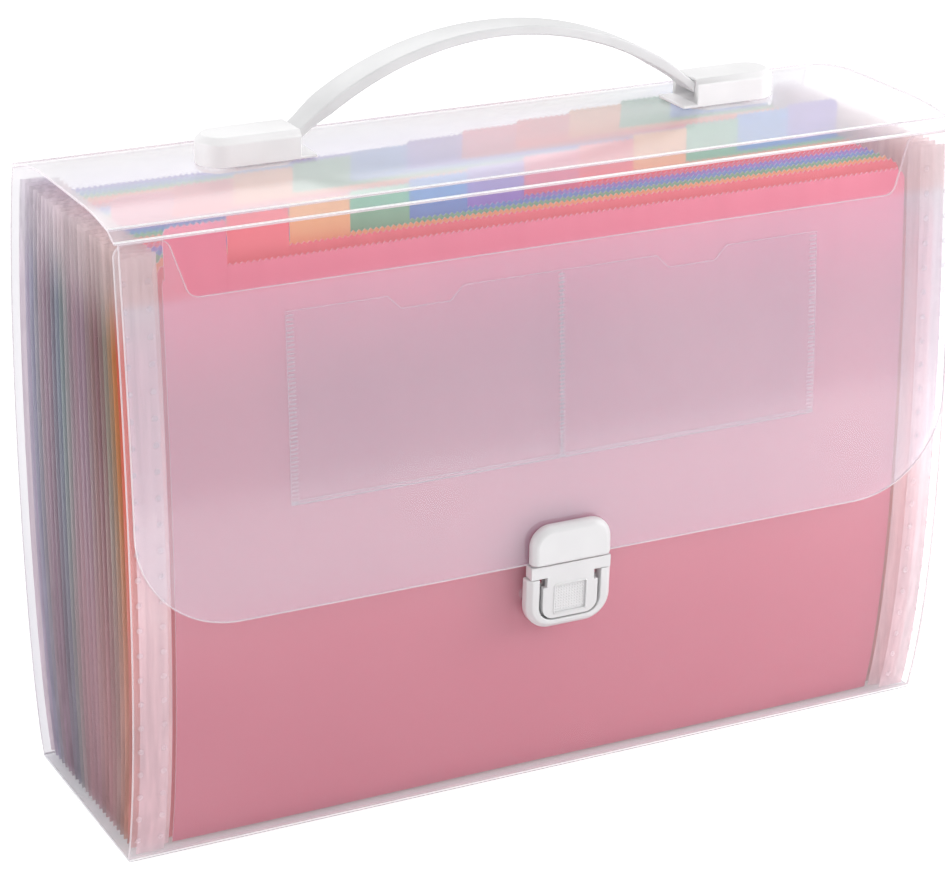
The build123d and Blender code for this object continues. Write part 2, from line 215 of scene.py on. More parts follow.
def rounded_path(points: list, radii: list, steps: int = 8) -> np.ndarray:
    """Polyline whose inner corners are round.

    At a corner the path comes in along a and leaves along b, an angle theta apart. With n
    the unit normal of a on b's side, the arc is start + r (a sin s + n (1 - cos s)) for s
    from 0 to theta, and starts r tan(theta / 2) before the corner.

    Args:
        points: Corners of the polyline, its two ends among them.
        radii: Radius at each inner corner, 0 for a sharp one.
        steps: Stretches of each arc.

    Returns:
        The path's points, one per row.
    """
    corners = np.array(points, float)
    out = [corners[:1]]
    for before, corner, after, radius in zip(corners, corners[1:], corners[2:], radii):
        a = (corner - before) / np.linalg.norm(corner - before)
        b = (after - corner) / np.linalg.norm(after - corner)
        theta = float(np.arccos(np.clip(a @ b, -1, 1)))
        if radius == 0 or theta < 1e-6:
            out.append(corner[None])
            continue
        n = (b - a * cos(theta)) / sin(theta)
        s = np.linspace(0, theta, steps + 1)[:, None]
        start = corner - a * radius * np.tan(theta / 2)
        out.append(start + radius * (a * np.sin(s) + n * (1 - np.cos(s))))
    out.append(corners[-1:])
    return np.vstack(out)


def rounded_rectangle(width: float, height: float, radius: float, steps: int = 6) -> np.ndarray:
    """Outline of a rectangle round the origin with round corners.

    Args:
        width: Its width.
        height: Its height.
        radius: Radius of the corners.
        steps: Stretches of each corner's arc.

    Returns:
        The closed outline, its first point not repeated.
    """
    w, h = width / 2, height / 2
    corners = [(0, -h), (w, -h), (w, h), (-w, h), (-w, -h), (0, -h)]
    return rounded_path(corners, [radius] * 4, steps)[:-1]


def grid_faces(rows: int, columns: int, close_columns: bool = False) -> np.ndarray:
    """Corner numbers of the quads of a grid of points that is stored row by row.

    Args:
        rows: Rows of points.
        columns: Points in a row.
        close_columns: Whether each row is a ring.

    Returns:
        One quad per row of the array.
    """
    index = np.arange(rows * columns).reshape(rows, columns)
    if close_columns:
        index = np.hstack([index, index[:, :1]])
    quads = index[:-1, :-1], index[:-1, 1:], index[1:, 1:], index[1:, :-1]
    return np.stack([q.ravel() for q in quads], axis=1)


def rim_loop(rows: int, columns: int) -> np.ndarray:
    """Numbers of a grid's outermost points, in order round it."""
    index = np.arange(rows * columns).reshape(rows, columns)
    return np.concatenate([index[0, :-1], index[:-1, -1], index[-1, :0:-1], index[:0:-1, 0]])


def make_object(
    name: str,
    points: np.ndarray,
    faces: list,
    materials: list,
    slots: np.ndarray | None = None,
    crease_angle: float = 40.0,
    solid: bool = True,
) -> bpy.types.Object:
    """Makes an object at the origin from points in millimetres.

    Args:
        name: The object's name.
        points: Points, one per row.
        faces: Corner numbers of each face.
        materials: Materials of its slots.
        slots: Material slot of each face, or None for the first.
        crease_angle: Angle in degrees past which an edge is sharp.
        solid: Whether it is closed, so that its faces can be turned outwards.

    Returns:
        The object, linked to the scene.
    """
    mesh = bpy.data.meshes.new(name)
    mesh.from_pydata((np.asarray(points, float) * MM).tolist(), [], [list(f) for f in faces])
    for material in materials:
        mesh.materials.append(material)
    if slots is not None:
        mesh.polygons.foreach_set("material_index", np.asarray(slots, np.int32))
    if solid:
        turned = bmesh.new()
        turned.from_mesh(mesh)
        bmesh.ops.recalc_face_normals(turned, faces=turned.faces)
        turned.to_mesh(mesh)
        turned.free()
    mesh.polygons.foreach_set("use_smooth", np.ones(len(mesh.polygons), bool))
    mesh.set_sharp_from_angle(angle=radians(crease_angle))
    piece = bpy.data.objects.new(name, mesh)
    bpy.context.scene.collection.objects.link(piece)
    return piece


def closed_sheet(
    name: str, outer: np.ndarray, inner: np.ndarray, materials: list
) -> bpy.types.Object:
    """Closed sheet from a grid of points on each of its two faces.

    Args:
        name: The object's name.
        outer: Points of one face, as rows x columns x 3.
        inner: Points of the other face, the same shape.
        materials: Finish of the faces, then of the cut edge.

    Returns:
        The sheet as an object.
    """
    rows, columns = outer.shape[:2]
    count = rows * columns
    face = grid_faces(rows, columns)
    loop = rim_loop(rows, columns)
    following = np.roll(loop, -1)
    rim = np.stack([loop, following, following + count, loop + count], axis=1)
    faces = np.vstack([face, face[:, ::-1] + count, rim])
    slots = np.zeros(len(faces), int)
    slots[2 * len(face) :] = 1
    points = np.vstack([outer.reshape(-1, 3), inner.reshape(-1, 3)])
    return make_object(name, points, faces, materials, slots)


def clear_sheet(
    name: str, surface: np.ndarray, thickness: float, materials: list, flip: bool = False
) -> bpy.types.Object:
    """See-through sheet: its middle surface, with the cut edge as a closed strip round it.

    One surface takes its tint from the light once, as the real sheet does. At a point p of
    the rim, with t along the rim, n the surface's normal and o = t x n, the strip's corners
    are p + w o + h n for w of plus or minus the edge's half width and h of plus or minus
    half the thickness.

    Args:
        name: The object's name.
        surface: Points as rows x columns x 3.
        thickness: The sheet's thickness.
        materials: Finish of the surface, then of the cut edge.
        flip: Whether the surface's outside is the other one.

    Returns:
        The sheet as an object.
    """
    rows, columns = surface.shape[:2]
    points = surface.reshape(-1, 3)
    loop = rim_loop(rows, columns)
    normal = np.cross(np.gradient(surface, axis=1), np.gradient(surface, axis=0))
    n = normal.reshape(-1, 3)[loop]
    n /= np.linalg.norm(n, axis=1, keepdims=True)
    t = np.roll(points[loop], -1, axis=0) - np.roll(points[loop], 1, axis=0)
    o = np.cross(t, n)
    o /= np.linalg.norm(o, axis=1, keepdims=True)
    corners = np.array([(1, 1), (1, -1), (-1, -1), (-1, 1)]) * (EDGE_HALF_WIDTH, thickness / 2)
    strip = points[loop][:, None] + corners[:, :1] * o[:, None] + corners[:, 1:] * n[:, None]
    face = grid_faces(rows, columns)
    face = face[:, ::-1] if flip else face
    ring = grid_faces(len(loop) + 1, 4, close_columns=True) % strip[..., 0].size
    slots = np.repeat((0, 1), (len(face), len(ring)))
    return make_object(
        name,
        np.vstack([points, strip.reshape(-1, 3)]),
        np.vstack([face, ring + len(points)]),
        materials,
        slots,
        solid=False,
    )


def wall_grid(
    bow: Bow,
    low: np.ndarray,
    high: np.ndarray,
    rows: int = 40,
    spacing: float = 8.0,
    ripple: float = 0.0,
    phase: float = 0.0,
    level: float | None = None,
) -> np.ndarray:
    """Points of a bowed upright sheet cut to an outline.

    A point is (x, bow's depth at z, z), with x along the width and z running from the low
    outline to the high one at that x. With a level, all rows but the top one are spread
    between the low outline and it, so that a jagged outline leaves the sheet below even.
    A ripple adds its height times sin(2 pi x / WAVE_WIDTH + phase) times sin(2 pi z /
    WAVE_HEIGHT + phase) to the depth.

    Args:
        bow: Side view of the surface.
        low: Lower outline as (x, z) rows, x rising.
        high: Upper outline, the same way.
        rows: Points up the sheet.
        spacing: Most space between columns.
        ripple: Height of the waves that a loose sheet has.
        phase: Where the waves start.
        level: Height of the last row below the high outline, or None.

    Returns:
        Points as rows x columns x 3.
    """
    left, right = max(low[0, 0], high[0, 0]), min(low[-1, 0], high[-1, 0])
    even = np.linspace(left, right, int((right - left) / spacing) + 2)
    x = np.unique(np.round(np.concatenate([even, low[:, 0], high[:, 0]]), 3))
    x = x[(x >= left) & (x <= right)]
    bottom, top = np.interp(x, *low.T), np.interp(x, *high.T)
    v = np.linspace(0, 1, rows)[:, None]
    z = bottom + (top - bottom) * v
    if level is not None:
        z = np.vstack([bottom + (level - bottom) * v, top])
    x = np.broadcast_to(x, z.shape)
    waves = np.sin(tau * x / WAVE_WIDTH + phase) * np.sin(tau * z / WAVE_HEIGHT + phase)
    return np.stack([x, bow.depth(z) + ripple * waves, z], axis=2)


def folded_sheet(
    name: str, path: np.ndarray, half_width: float, materials: list, columns: int = 24
) -> bpy.types.Object:
    """See-through sheet that runs straight along X and follows a (y, z) path.

    Args:
        name: The object's name.
        path: Upper face seen from the side, as (y, z) rows.
        half_width: Half of its width.
        materials: Finish of the surface, then of the cut edge.
        columns: Points across it.

    Returns:
        The sheet as an object.
    """
    x = np.linspace(-half_width, half_width, columns)[None, :]
    y, z = path[:, :1], path[:, 1:] - SHEET / 2
    return clear_sheet(name, np.stack(np.broadcast_arrays(x, y, z), axis=2), SHEET, materials)


def swept_tube(
    name: str,
    spine: np.ndarray,
    side: np.ndarray,
    section: np.ndarray,
    material: bpy.types.Material,
    swell: np.ndarray | float = 1.0,
) -> bpy.types.Object:
    """Solid of one section carried along a path.

    With t the path's direction and s the side direction, a point is spine + u s + v (t x s),
    for (u, v) on the section, each times its swell there.

    Args:
        name: The object's name.
        spine: Points of the path.
        side: Direction across the path, one for all points.
        section: Closed outline as (u, v) rows.
        material: Its finish.
        swell: Factors of u and v, one row for each point of the path.

    Returns:
        The solid, closed at both ends.
    """
    along = np.gradient(spine, axis=0)
    along /= np.linalg.norm(along, axis=1, keepdims=True)
    upward = np.cross(along, side)
    outline = section[None] * swell
    rings = spine[:, None] + outline[..., :1] * side + outline[..., 1:] * upward[:, None]
    rows, columns = rings.shape[:2]
    faces = [list(f) for f in grid_faces(rows, columns, close_columns=True)]
    faces.append(list(range(columns)))
    faces.append(list(range((rows - 1) * columns, rows * columns)))
    return make_object(name, rings.reshape(-1, 3), faces, [material])


def scattered_domes(
    name: str,
    centres: np.ndarray,
    across: np.ndarray,
    up: np.ndarray,
    radius: float,
    profile: np.ndarray,
    material: bpy.types.Material,
    spokes: int = 12,
) -> bpy.types.Object:
    """Many small round marks of one profile.

    Each is rings of points at centre + r (across cos a + up sin a) + h n, where n is across
    x up and (r, h) runs along the profile from the rim to the middle.

    Args:
        name: The object's name.
        centres: Middle of each mark, on the surface.
        across: Direction across the surface; longer than 1 makes the marks long.
        up: Unit direction up the surface.
        radius: Radius of a mark.
        profile: (r, h) rows, r as a share of the radius, h in millimetres.
        material: Their finish.
        spokes: Points in a ring.

    Returns:
        The marks as one object.
    """
    normal = np.cross(across, up)
    normal = normal / np.linalg.norm(normal)
    angle = np.linspace(0, tau, spokes, endpoint=False)
    r, h = profile[:, :1] * radius, profile[:, 1:]
    ring = (
        (r * np.cos(angle))[..., None] * across
        + (r * np.sin(angle))[..., None] * up
        + (h * np.ones_like(angle))[..., None] * normal
    )
    points = centres[:, None, None] + ring[None]
    one = grid_faces(len(profile), spokes, close_columns=True)
    lid = np.arange((len(profile) - 1) * spokes, len(profile) * spokes)
    foot = np.arange(spokes)[::-1]
    step = len(profile) * spokes
    faces = []
    for start in range(0, step * len(centres), step):
        faces += (one + start).tolist() + [(lid + start).tolist(), (foot + start).tolist()]
    return make_object(name, points.reshape(-1, 3), faces, [material])


def softened_copy(
    node: str, name: str, width: float, material: bpy.types.Material, spared: tuple | None = None
) -> bpy.types.Object:
    """Copy of a CAD node with its mesh joined up and its sharp edges rounded.

    Args:
        node: The CAD node, which the copy replaces.
        name: The object's name.
        width: Width of the rounding in millimetres.
        material: Its finish.
        spared: Lowest and highest corner in millimetres of a box whose edges stay sharp, or
            None.

    Returns:
        The copy.
    """
    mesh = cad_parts[node].data.copy()
    joined = bmesh.new()
    joined.from_mesh(mesh)
    bmesh.ops.remove_doubles(joined, verts=joined.verts, dist=JOIN_DISTANCE)
    bmesh.ops.dissolve_limit(
        joined, angle_limit=radians(FLAT_ANGLE), verts=joined.verts, edges=joined.edges
    )
    bmesh.ops.recalc_face_normals(joined, faces=joined.faces)
    low, high = np.array(spared) * MM if spared else (np.zeros(3), np.zeros(3))
    weight = joined.edges.layers.float.new("bevel_weight_edge")
    for edge in joined.edges:
        middle = np.array(edge.verts[0].co + edge.verts[1].co) / 2
        inside = ((middle > low) & (middle < high)).all()
        sharp = edge.calc_face_angle(0.0) > radians(SHARP_ANGLE)
        edge[weight] = float(sharp and not inside)
    joined.to_mesh(mesh)
    joined.free()
    if "custom_normal" in mesh.attributes:
        mesh.attributes.remove(mesh.attributes["custom_normal"])
    mesh.materials.clear()
    mesh.materials.append(material)
    mesh.polygons.foreach_set("use_smooth", np.ones(len(mesh.polygons), bool))
    piece = bpy.data.objects.new(name, mesh)
    bpy.context.scene.collection.objects.link(piece)
    bevel = piece.modifiers.new("edges", "BEVEL")
    bevel.width, bevel.segments = width * MM, 3
    bevel.limit_method = "WEIGHT"
    even = piece.modifiers.new("normals", "WEIGHTED_NORMAL")
    even.keep_sharp = True
    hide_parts(node)
    return piece


# Finishes


def channels(colour: str) -> np.ndarray:
    """Red, green and blue of a hex colour, from 0 to 255."""
    return np.array(list(bytes.fromhex(colour[1:])))


def linear(colour: str) -> tuple:
    """Turns an sRGB hex colour into linear light.

    Args:
        colour: The hex colour.

    Returns:
        Linear red, green and blue, and an alpha of 1.
    """
    parts = channels(colour) / 255
    curve = np.where(parts <= 0.04045, parts / 12.92, ((parts + 0.055) / 1.055) ** 2.4)
    return (*map(float, curve), 1.0)


def mixed(first: str, second: str, share: float) -> str:
    """Hex colour a share of the way from one to another."""
    near, far = channels(first), channels(second)
    return "#" + "".join(f"{round(v):02X}" for v in near + (far - near) * share)


def add(
    tree: Tree,
    kind: str,
    settings: dict | None = None,
    links: dict | None = None,
    **options: object,
) -> bpy.types.Node:
    """Adds a node.

    Args:
        tree: The node tree it goes into.
        kind: Its type.
        settings: Values of its inputs, by name or number.
        links: Sockets that feed its inputs, by name or number.
        options: The node's own properties.

    Returns:
        The node.
    """
    node = tree.nodes.new(kind)
    for key, value in options.items():
        setattr(node, key, value)
    for key, value in (settings or {}).items():
        node.inputs[key].default_value = value
    for key, socket in (links or {}).items():
        tree.links.new(socket, node.inputs[key])
    return node


def ramp(tree: Tree, factor: Socket, stops: list) -> Socket:
    """Adds a colour ramp.

    Args:
        tree: The node tree it goes into.
        factor: Socket that says where on the ramp the colour is taken.
        stops: (place, hex colour) pairs.

    Returns:
        Its colour socket.
    """
    node = add(tree, "ShaderNodeValToRGB", links={"Fac": factor})
    band = node.color_ramp
    while len(band.elements) > 1:
        band.elements.remove(band.elements[-1])
    band.elements[0].position, band.elements[0].color = stops[0][0], linear(stops[0][1])
    for place, colour in stops[1:]:
        band.elements.new(place).color = linear(colour)
    return node.outputs["Color"]


def new_material(name: str) -> tuple:
    """Makes an empty material.

    Args:
        name: Its name.

    Returns:
        The material, its tree and a socket of Object coordinates.
    """
    material = bpy.data.materials.new(name)
    material.use_nodes = True
    tree = material.node_tree
    tree.nodes.clear()
    add(tree, "ShaderNodeOutputMaterial")
    place = add(tree, "ShaderNodeTexCoord").outputs["Object"]
    return material, tree, place


def rise_in(tree: Tree, place: Socket, low: float, high: float) -> Socket:
    """Adds a socket that goes smoothly from 0 to 1 between two heights.

    Args:
        tree: The node tree.
        place: Its socket of Object coordinates.
        low: Height where it leaves 0.
        high: Height where it reaches 1.

    Returns:
        The socket.
    """
    height = add(tree, "ShaderNodeSeparateXYZ", links={"Vector": place}).outputs["Z"]
    return add(
        tree,
        "ShaderNodeMapRange",
        {"From Min": low * MM, "From Max": high * MM},
        {"Value": height},
        interpolation_type="SMOOTHSTEP",
    ).outputs["Result"]


def shaded(
    material: bpy.types.Material,
    pattern: Socket,
    colour: Socket,
    settings: dict,
    relief: tuple,
    gloss: tuple | None = None,
    coloured: tuple = ("Base Color",),
) -> bpy.types.Material:
    """Gives a material its shader, with a bump and, if asked, a gloss that follow a pattern.

    Args:
        material: The material, with its output node.
        pattern: Socket of the pattern.
        colour: Socket of the colour.
        settings: Values of the shader's plain inputs.
        relief: Strength of the bump and its height in millimetres.
        gloss: Roughness at the pattern's 0 and at its 1, or None.
        coloured: The shader's inputs that take the colour.

    Returns:
        The material.
    """
    tree = material.node_tree
    links = dict.fromkeys(coloured, colour)
    if gloss:
        ends = {"To Min": gloss[0], "To Max": gloss[1]}
        rough = add(tree, "ShaderNodeMapRange", ends, {"Value": pattern})
        links["Roughness"] = rough.outputs["Result"]
    depth = {"Strength": relief[0], "Distance": relief[1] * MM}
    bump = add(tree, "ShaderNodeBump", depth, {"Height": pattern})
    links["Normal"] = bump.outputs["Normal"]
    shader = add(tree, "ShaderNodeBsdfPrincipled", settings, links)
    tree.links.new(shader.outputs["BSDF"], tree.get_output_node("CYCLES").inputs["Surface"])
    return material


@dataclass(frozen=True)
class FrostedSheet:
    """Extruded polypropylene sheet, one side chilled matt: milky, soft highlights, and what
    lies close behind it shows through."""

    name: str
    colour: str
    shade: str
    cover: float
    roughness: float = 0.22
    roughness_play: float = 0.03
    cloud: float = 70.0
    grain: float = 16.0
    grain_height: float = 0.05
    grain_strength: float = 0.35
    # painted light: a pink tint high up for light from the pink sheet close behind, and the
    # heights where it fades
    warm: str = ""
    painted_pink_above: float = 213.0
    painted_pink_below: float = 208.0

    def material(self) -> bpy.types.Material:
        """Builds the material: cloudy tint with painted pink light high up, for the light of the
        pink sheet close behind where nothing pale lies between, fine grain bump, even cover on
        each face.

        Returns:
            The material.
        """
        material, tree, place = new_material(self.name)
        cloud = add(
            tree,
            "ShaderNodeTexNoise",
            {"Scale": 1 / (self.cloud * MM), "Detail": 2.0},
            {"Vector": place},
        )
        tint = ramp(tree, cloud.outputs["Fac"], [(0.3, self.shade), (0.7, self.colour)])
        # painted light: above these heights the tint turns pink, as if lit by the pink sheet
        # behind
        if self.warm:
            painted_pink_mask = rise_in(tree, place, self.painted_pink_above, self.painted_pink_below)
            tint = add(
                tree, "ShaderNodeMix", {6: linear(self.warm)}, {0: painted_pink_mask, 7: tint}, data_type="RGBA"
            ).outputs[2]
        grain = add(
            tree,
            "ShaderNodeTexNoise",
            {"Scale": 1 / (self.grain * MM), "Detail": 3.0},
            {"Vector": place},
        )
        return shaded(
            material,
            grain.outputs["Fac"],
            tint,
            {"IOR": PP_IOR, "Specular IOR Level": 1.0, "Alpha": self.cover},
            relief=(self.grain_strength, self.grain_height),
            gloss=(self.roughness - self.roughness_play, self.roughness + self.roughness_play),
        )


@dataclass(frozen=True)
class ColouredSheet:
    """Thin dyed polypropylene sheet: even colour, satin, faint lines along the way it was
    drawn."""

    name: str
    colour: str
    shade: str
    # painted shade: a darker dye lower down, and the heights between which it gives way to the
    # plain dye
    deep: str = ""
    painted_shade_below: float = 165.0
    painted_shade_above: float = 214.0
    glow: float = 0.0
    line: float = 6.0
    drawn: float = 0.03
    line_height: float = 0.03
    line_strength: float = 0.2
    smoothest: float = 0.36
    roughest: float = 0.48

    def material(self) -> bpy.types.Material:
        """Builds the material: dye with upright draw lines, painted shade that darkens it lower
        down where the sheets behind keep the light out, satin roughness, light bump, and a little
        painted glow for the light that comes through the sheet from behind.

        Returns:
            The material.
        """
        material, tree, place = new_material(self.name)
        stretch = add(
            tree, "ShaderNodeMapping", {"Scale": (1.0, 1.0, self.drawn)}, {"Vector": place}
        )
        lines = add(
            tree,
            "ShaderNodeTexNoise",
            {"Scale": 1 / (self.line * MM), "Detail": 3.0},
            {"Vector": stretch.outputs["Vector"]},
        )
        dye = ramp(tree, lines.outputs["Fac"], [(0.25, self.shade), (0.75, self.colour)])
        # painted shade: below these heights the dye turns darker
        if self.deep:
            rise = rise_in(tree, place, self.painted_shade_below, self.painted_shade_above)
            dye = add(
                tree, "ShaderNodeMix", {6: linear(self.deep)}, {0: rise, 7: dye}, data_type="RGBA"
            ).outputs[2]
        return shaded(
            material,
            lines.outputs["Fac"],
            dye,
            {"IOR": PP_IOR, "Emission Strength": self.glow},
            relief=(self.line_strength, self.line_height),
            gloss=(self.smoothest, self.roughest),
            coloured=("Base Color", "Emission Color"),
        )


@dataclass(frozen=True)
class PleatFilm:
    """Cast polypropylene film, folded: glassy, streaked up and down, and tinted by the edge
    of the sheet that is welded to it. The tint pales towards the top and, towards the foot,
    turns to a paler pink that is painted light."""

    name: str
    colour: str
    pale: str
    # painted light: the colour the fold takes at its foot, and the heights where it gives way to
    # the tint
    dusk: str
    cover: float = 0.55
    fade_from: float = 186.0
    fade_to: float = 217.0
    painted_foot_below: float = 40.0
    painted_foot_above: float = 160.0
    roughness: float = 0.25
    streak: float = 2.2
    drawn: float = 0.012
    darkest: float = 0.84
    lightest: float = 1.14
    streak_height: float = 0.08
    streak_strength: float = 0.5

    def material(self) -> bpy.types.Material:
        """Builds the material: tint that fades with height, painted light at the foot, streaks,
        glossy film.

        Returns:
            The material.
        """
        material, tree, place = new_material(self.name)
        rise = rise_in(tree, place, self.fade_from, self.fade_to)
        tint = ramp(tree, rise, [(0.0, self.colour), (1.0, self.pale)])
        # painted light: towards the foot the tint turns to the painted foot colour
        lift = rise_in(tree, place, self.painted_foot_below, self.painted_foot_above)
        tint = add(
            tree, "ShaderNodeMix", {6: linear(self.dusk)}, {0: lift, 7: tint}, data_type="RGBA"
        ).outputs[2]
        stretch = add(
            tree, "ShaderNodeMapping", {"Scale": (1.0, 1.0, self.drawn)}, {"Vector": place}
        )
        streaks = add(
            tree,
            "ShaderNodeTexNoise",
            {"Scale": 1 / (self.streak * MM), "Detail": 2.0},
            {"Vector": stretch.outputs["Vector"]},
        )
        light = add(
            tree,
            "ShaderNodeMapRange",
            {"From Min": 0.35, "From Max": 0.7, "To Min": self.darkest, "To Max": self.lightest},
            {"Value": streaks.outputs["Fac"]},
        )
        streaked = add(
            tree,
            "ShaderNodeVectorMath",
            links={0: tint, "Scale": light.outputs["Result"]},
            operation="SCALE",
        )
        settings = {"IOR": PP_IOR, "Specular IOR Level": 1.0, "Alpha": self.cover}
        return shaded(
            material,
            streaks.outputs["Fac"],
            streaked.outputs["Vector"],
            {**settings, "Roughness": self.roughness},
            relief=(self.streak_strength, self.streak_height),
        )


@dataclass(frozen=True)
class WhitePlastic:
    """Injection moulded polypropylene or ABS in white: satin, with the fine spark texture
    of the mould."""

    name: str
    colour: str
    shade: str
    roughness: float = 0.34
    cover: float = 1.0
    grain: float = 0.5
    grain_height: float = 0.02
    grain_strength: float = 0.25
    tone: float = 14.0
    ior: float = 1.5
    smoother: float = 0.05
    rougher: float = 0.07

    def material(self) -> bpy.types.Material:
        """Builds the material: white with a trace of tone, fine texture, satin gloss.

        Returns:
            The material.
        """
        material, tree, place = new_material(self.name)
        grain = add(
            tree,
            "ShaderNodeTexNoise",
            {"Scale": 1 / (self.grain * MM), "Detail": 2.0},
            {"Vector": place},
        )
        tone = add(
            tree,
            "ShaderNodeTexNoise",
            {"Scale": 1 / (self.tone * MM), "Detail": 1.0},
            {"Vector": place},
        )
        colour = ramp(tree, tone.outputs["Fac"], [(0.3, self.shade), (0.7, self.colour)])
        return shaded(
            material,
            grain.outputs["Fac"],
            colour,
            {"IOR": self.ior, "Alpha": self.cover},
            relief=(self.grain_strength, self.grain_height),
            gloss=(self.roughness - self.smoother, self.roughness + self.rougher),
        )


class Finishes:
    """All finishes of the file, each made once."""

    def __init__(self) -> None:
        """Makes the materials."""
        self.front = FrostedSheet("front_sheet_pp", "#F0ECF2", "#E8E4EB", 0.2).material()
        # the flap's tint carries painted pink light high up
        self.flap = FrostedSheet(
            "flap_sheet_pp", "#DEDFF0", "#D6D9EC", 0.3, roughness=0.12, warm="#DCB9C2"
        ).material()
        self.top = FrostedSheet("top_sheet_pp", "#F9F6F9", "#F4F1F6", 0.6).material()
        self.strip = FrostedSheet("crease_strip_pp", "#F0EEF5", "#E8E6F0", 0.34).material()
        self.back = FrostedSheet("back_sheet_pp", "#F0EFF4", "#E8E7EE", 0.5).material()
        self.pocket = FrostedSheet(
            "pocket_film_pp", "#DCDCE8", "#D0D0DE", 0.08, roughness=0.2
        ).material()
        self.edge = WhitePlastic("cut_edge_pp", "#FBF4F8", "#F4ECF2", 0.3, cover=0.45).material()
        self.whitened = WhitePlastic("whitened_crease_pp", "#FFFFFF", "#FBFAFC", 0.4).material()
        self.weld = WhitePlastic("welded_seam_pp", "#F6E6EC", "#EEDCE4", 0.3, cover=0.2).material()
        self.white = WhitePlastic("white_moulded_pp", "#F6F5F6", "#F0EFF0").material()
        # painted shade: the same white moulding as the mounts, painted darker for the strap and
        # latch
        self.satin = WhitePlastic("shaded_white_moulded_pp", "#E2E2E3", "#DDDDDE").material()


# Sub-assemblies


def box_in_mm(node: str) -> tuple:
    """Lowest and highest corner of a CAD node in millimetres."""
    return tuple(np.array(corner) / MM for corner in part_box(node))


def paint(node: str, material: bpy.types.Material) -> None:
    """Gives a CAD node that stays a finish.

    Args:
        node: The CAD node.
        material: Its finish.
    """
    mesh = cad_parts[node].data
    mesh.materials.clear()
    mesh.materials.append(material)
    LOG.info("%s is painted", node)


def dress(piece: bpy.types.Object, body: str, slot: str, *nodes: str) -> None:
    """Lets a piece ride on a body and hides the nodes that it stands for.

    Args:
        piece: The new piece.
        body: The body it moves with.
        slot: The slot's name; it is not used.
        nodes: CAD nodes that it replaces.
    """
    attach(piece, str(getattr(body, "value", body)))
    str(getattr(slot, "value", slot))
    if nodes:
        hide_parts(*nodes)


def fold_bead(
    name: str, place: tuple, radius: float, first: Body, second: Body, finish: bpy.types.Material
) -> None:
    """Adds the bead of stretched sheet along a fold: a thin rod along X.

    Args:
        name: The piece's name.
        place: (y, z) of the fold.
        radius: The rod's radius.
        first: The body that it follows when the other side is the same body.
        second: The body on the other side; where it is another body, the bead follows neither.
        finish: Its finish.
    """
    turn = np.linspace(0, tau, 12, endpoint=False)
    section = radius * np.stack([np.cos(turn), np.sin(turn)], axis=1)
    x = np.linspace(-CASE_HALF, CASE_HALF, 12)
    spine = np.stack([x, np.full_like(x, place[0]), np.full_like(x, place[1])], axis=1)
    piece = swept_tube(name, spine, np.array([0, 1, 0]), section, finish)
    if first is second:
        dress(piece, first, Slot.SHEET)
        return
    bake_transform(piece)
    LOG.info("%s bends between %s and %s", name, first.value, second.value)


@dataclass
class Case:
    """Back panel, bottom panel and the beads along their folds."""

    finishes: Finishes
    bead: float = 0.3
    fold_height: float = 0.6

    def build(self) -> None:
        """Builds the back, dresses the bottom and adds the fold beads."""
        ends = np.array([(-CASE_HALF, WALL_FOOT), (CASE_HALF, WALL_FOOT)])
        tops = np.array([(-CASE_HALF, WALL_HEIGHT), (CASE_HALF, WALL_HEIGHT)])
        back = clear_sheet(
            "back_sheet",
            wall_grid(BACK_BOW.moved(-SHEET / 2), ends, tops, spacing=20.0),
            SHEET,
            [self.finishes.back, self.finishes.edge],
            flip=True,
        )
        dress(back, Body.CASE, Slot.SHEET, "back_panel")
        paint("bottom_panel", self.finishes.back)
        rear, fore = (BACK_Y, self.fold_height), (FRONT_Y, self.fold_height)
        white, edge = self.finishes.whitened, self.finishes.edge
        fold_bead("back_bottom_fold", rear, self.bead, Body.CASE, Body.CASE, white)
        fold_bead("front_bottom_fold", fore, self.bead, Body.CASE, Body.FRONT, white)
        fold_bead("back_top_fold", BACK_HINGE, self.bead, Body.CASE, Body.TOP, edge)


